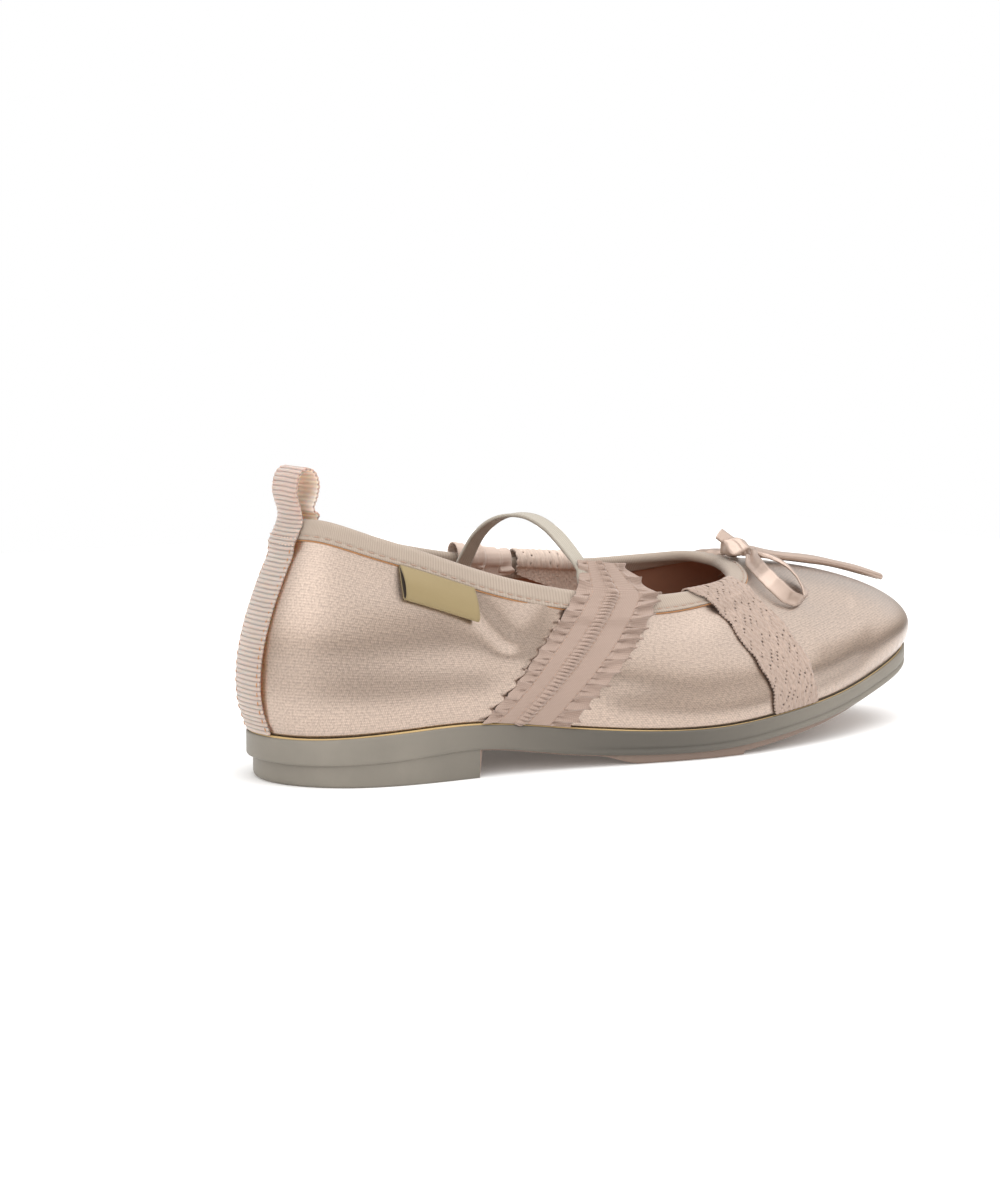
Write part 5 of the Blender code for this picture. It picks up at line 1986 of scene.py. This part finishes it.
@dataclass
class Studio:
    """Pale floor, soft light and the camera.

    The surround brightens from horizon to zenith over the heights of rise. It is brighter at the shoe's ends
    and darker near by, and backdrop lights its low far side.
    """

    last: Last
    azimuth: float = -31.4
    elevation: float = 6.8428
    eye: tuple[float, float, float] = (-329.546, -685.078, 146.891)
    lens: float = 75.0
    sensor: float = 36.0
    floor_half: float = 0.7
    horizon: float = 0.03
    zenith: float = 0.90
    rise: tuple[float, float] = (0.03, 0.36)
    near: float = 0.70
    ends: float = 0.60
    backdrop: float = 0.80
    low_tint: tuple[float, float, float, float] = (1.0, 0.78, 0.58, 1.0)

    def floor(self) -> None:
        """Pale floor."""
        bm = bmesh.new()
        bmesh.ops.create_grid(bm, x_segments=1, y_segments=1, size=self.floor_half)
        piece = finish_piece("floor", bm)
        graph = Graph(bpy.data.materials.new("floor"))
        graph.shade(Base_Color=(0.93, 0.93, 0.93, 1.0), Roughness=0.9, Specular_IOR_Level=0.1,
                    Emission_Color=(1.0, 0.93, 0.86, 1.0), Emission_Strength=0.09)
        piece.data.materials.append(graph.owner)

    def sun(self, name: str, towards: tuple[float, float, float], spread: float, strength: float) -> None:
        """Wide soft light from far away, even over the whole floor.

        Args:
            name: Its name.
            towards: Direction in which it shines.
            spread: Its apparent width in degrees.
            strength: Watts per square metre.
        """
        light = bpy.data.lights.new(name, "SUN")
        light.angle = math.radians(spread)
        light.energy = strength
        new_object(name, light).rotation_euler = Vector(towards).to_track_quat("-Z", "Y").to_euler()

    def sky(self) -> None:
        """White surround: bright overhead and at both ends, dark low near by, pale low on the far side."""
        world = bpy.data.worlds.new("studio")
        bpy.context.scene.world = world
        graph = Graph(world, "Background")
        place = graph.add("TexCoord")
        along, across, up = graph.add("SeparateXYZ", Vector=place.outputs["Generated"]).outputs
        high = graph.spread(up, *self.rise)
        level = graph.math("MULTIPLY_ADD", graph.math("MULTIPLY", along, along), self.ends, 1.0)
        level = graph.math("MULTIPLY_ADD", across, -self.near, level)
        overhead = graph.math("MULTIPLY", high, level)
        far = graph.math("MAXIMUM", across, 0.0)
        backdrop = graph.math("MULTIPLY", far, graph.math("SUBTRACT", 1.0, high))
        light = graph.math("MULTIPLY_ADD", overhead, self.zenith, self.horizon)
        light = graph.math("MULTIPLY_ADD", backdrop, self.backdrop, light)
        graph.shade(Strength=light, Color=graph.mix(graph.math("MAXIMUM", high, far), self.low_tint, WHITE))
        path = graph.add("LightPath")
        both = graph.add("MixShader", Fac=path.outputs["Is Camera Ray"])
        graph.feed(both.inputs[1], graph.shader.outputs[0])
        graph.feed(both.inputs[2], graph.add("Background", Color=WHITE).outputs[0])
        graph.feed(graph.nodes["World Output"].inputs["Surface"], both.outputs[0])

    def camera(self) -> None:
        """Camera at the shoe's own view."""
        data = bpy.data.cameras.new("camera")
        data.lens = self.lens
        data.sensor_width = self.sensor
        data.sensor_fit = "AUTO"
        item = new_object("camera", data)
        a, e = math.radians(self.azimuth), math.radians(self.elevation)
        back = Vector((math.sin(a) * math.cos(e), -math.cos(a) * math.cos(e), math.sin(e)))
        right = Vector((math.cos(a), math.sin(a), 0.0))
        up = back.cross(right)
        item.matrix_world = Matrix([[right[k], up[k], back[k], value] for k, value in
                                    enumerate(self.last.to_metres(np.array(self.eye)))]
                                   + [[0.0, 0.0, 0.0, 1.0]])
        bpy.context.scene.camera = item

    def build(self) -> None:
        """Makes the stage."""
        bpy.context.scene.view_settings.view_transform = "Standard"
        self.floor()
        self.sky()
        self.sun("overhead", (-0.10, 0.10, -1.0), 60.0, 1.6)
        self.sun("heel_side", (0.90, 0.25, -0.35), 60.0, 0.5)
        self.camera()


def main() -> None:
    """Loads the frame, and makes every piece."""
    logging.basicConfig(level=logging.INFO, format="%(message)s")
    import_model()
    low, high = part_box("outsole")
    last = Last(length=(high.x - low.x) / MM, heel_rest=-low.x / MM)
    finishes = Wardrobe()
    Sole(last, finishes).build()
    Upper(last, finishes).build()
    Binding(last, finishes).build()
    HeelRibbon(last, finishes).build()
    Ruffle(last, finishes, "ruffle_outer", Side.LATERAL, RUFFLE_LATERAL, "ruffle_lateral").build()
    Ruffle(last, finishes, "ruffle_inner", Side.MEDIAL, RUFFLE_MEDIAL, "ruffle_medial", (330, 76),
           fold=RUFFLE_FOLD).build()
    Lace(last, finishes, "lace_outer", Side.LATERAL, LACE_LATERAL, "lace_lateral").build()
    Lace(last, finishes, "lace_inner", Side.MEDIAL, LACE_MEDIAL, "lace_medial", LACE_FOLD_MEDIAL,
         slit=(2,)).build()
    Elastic(last, finishes).build()
    Label(last, finishes).build()
    Bow(last, finishes).build()
    Studio(last).build()


if __name__ == "__main__":
    main()
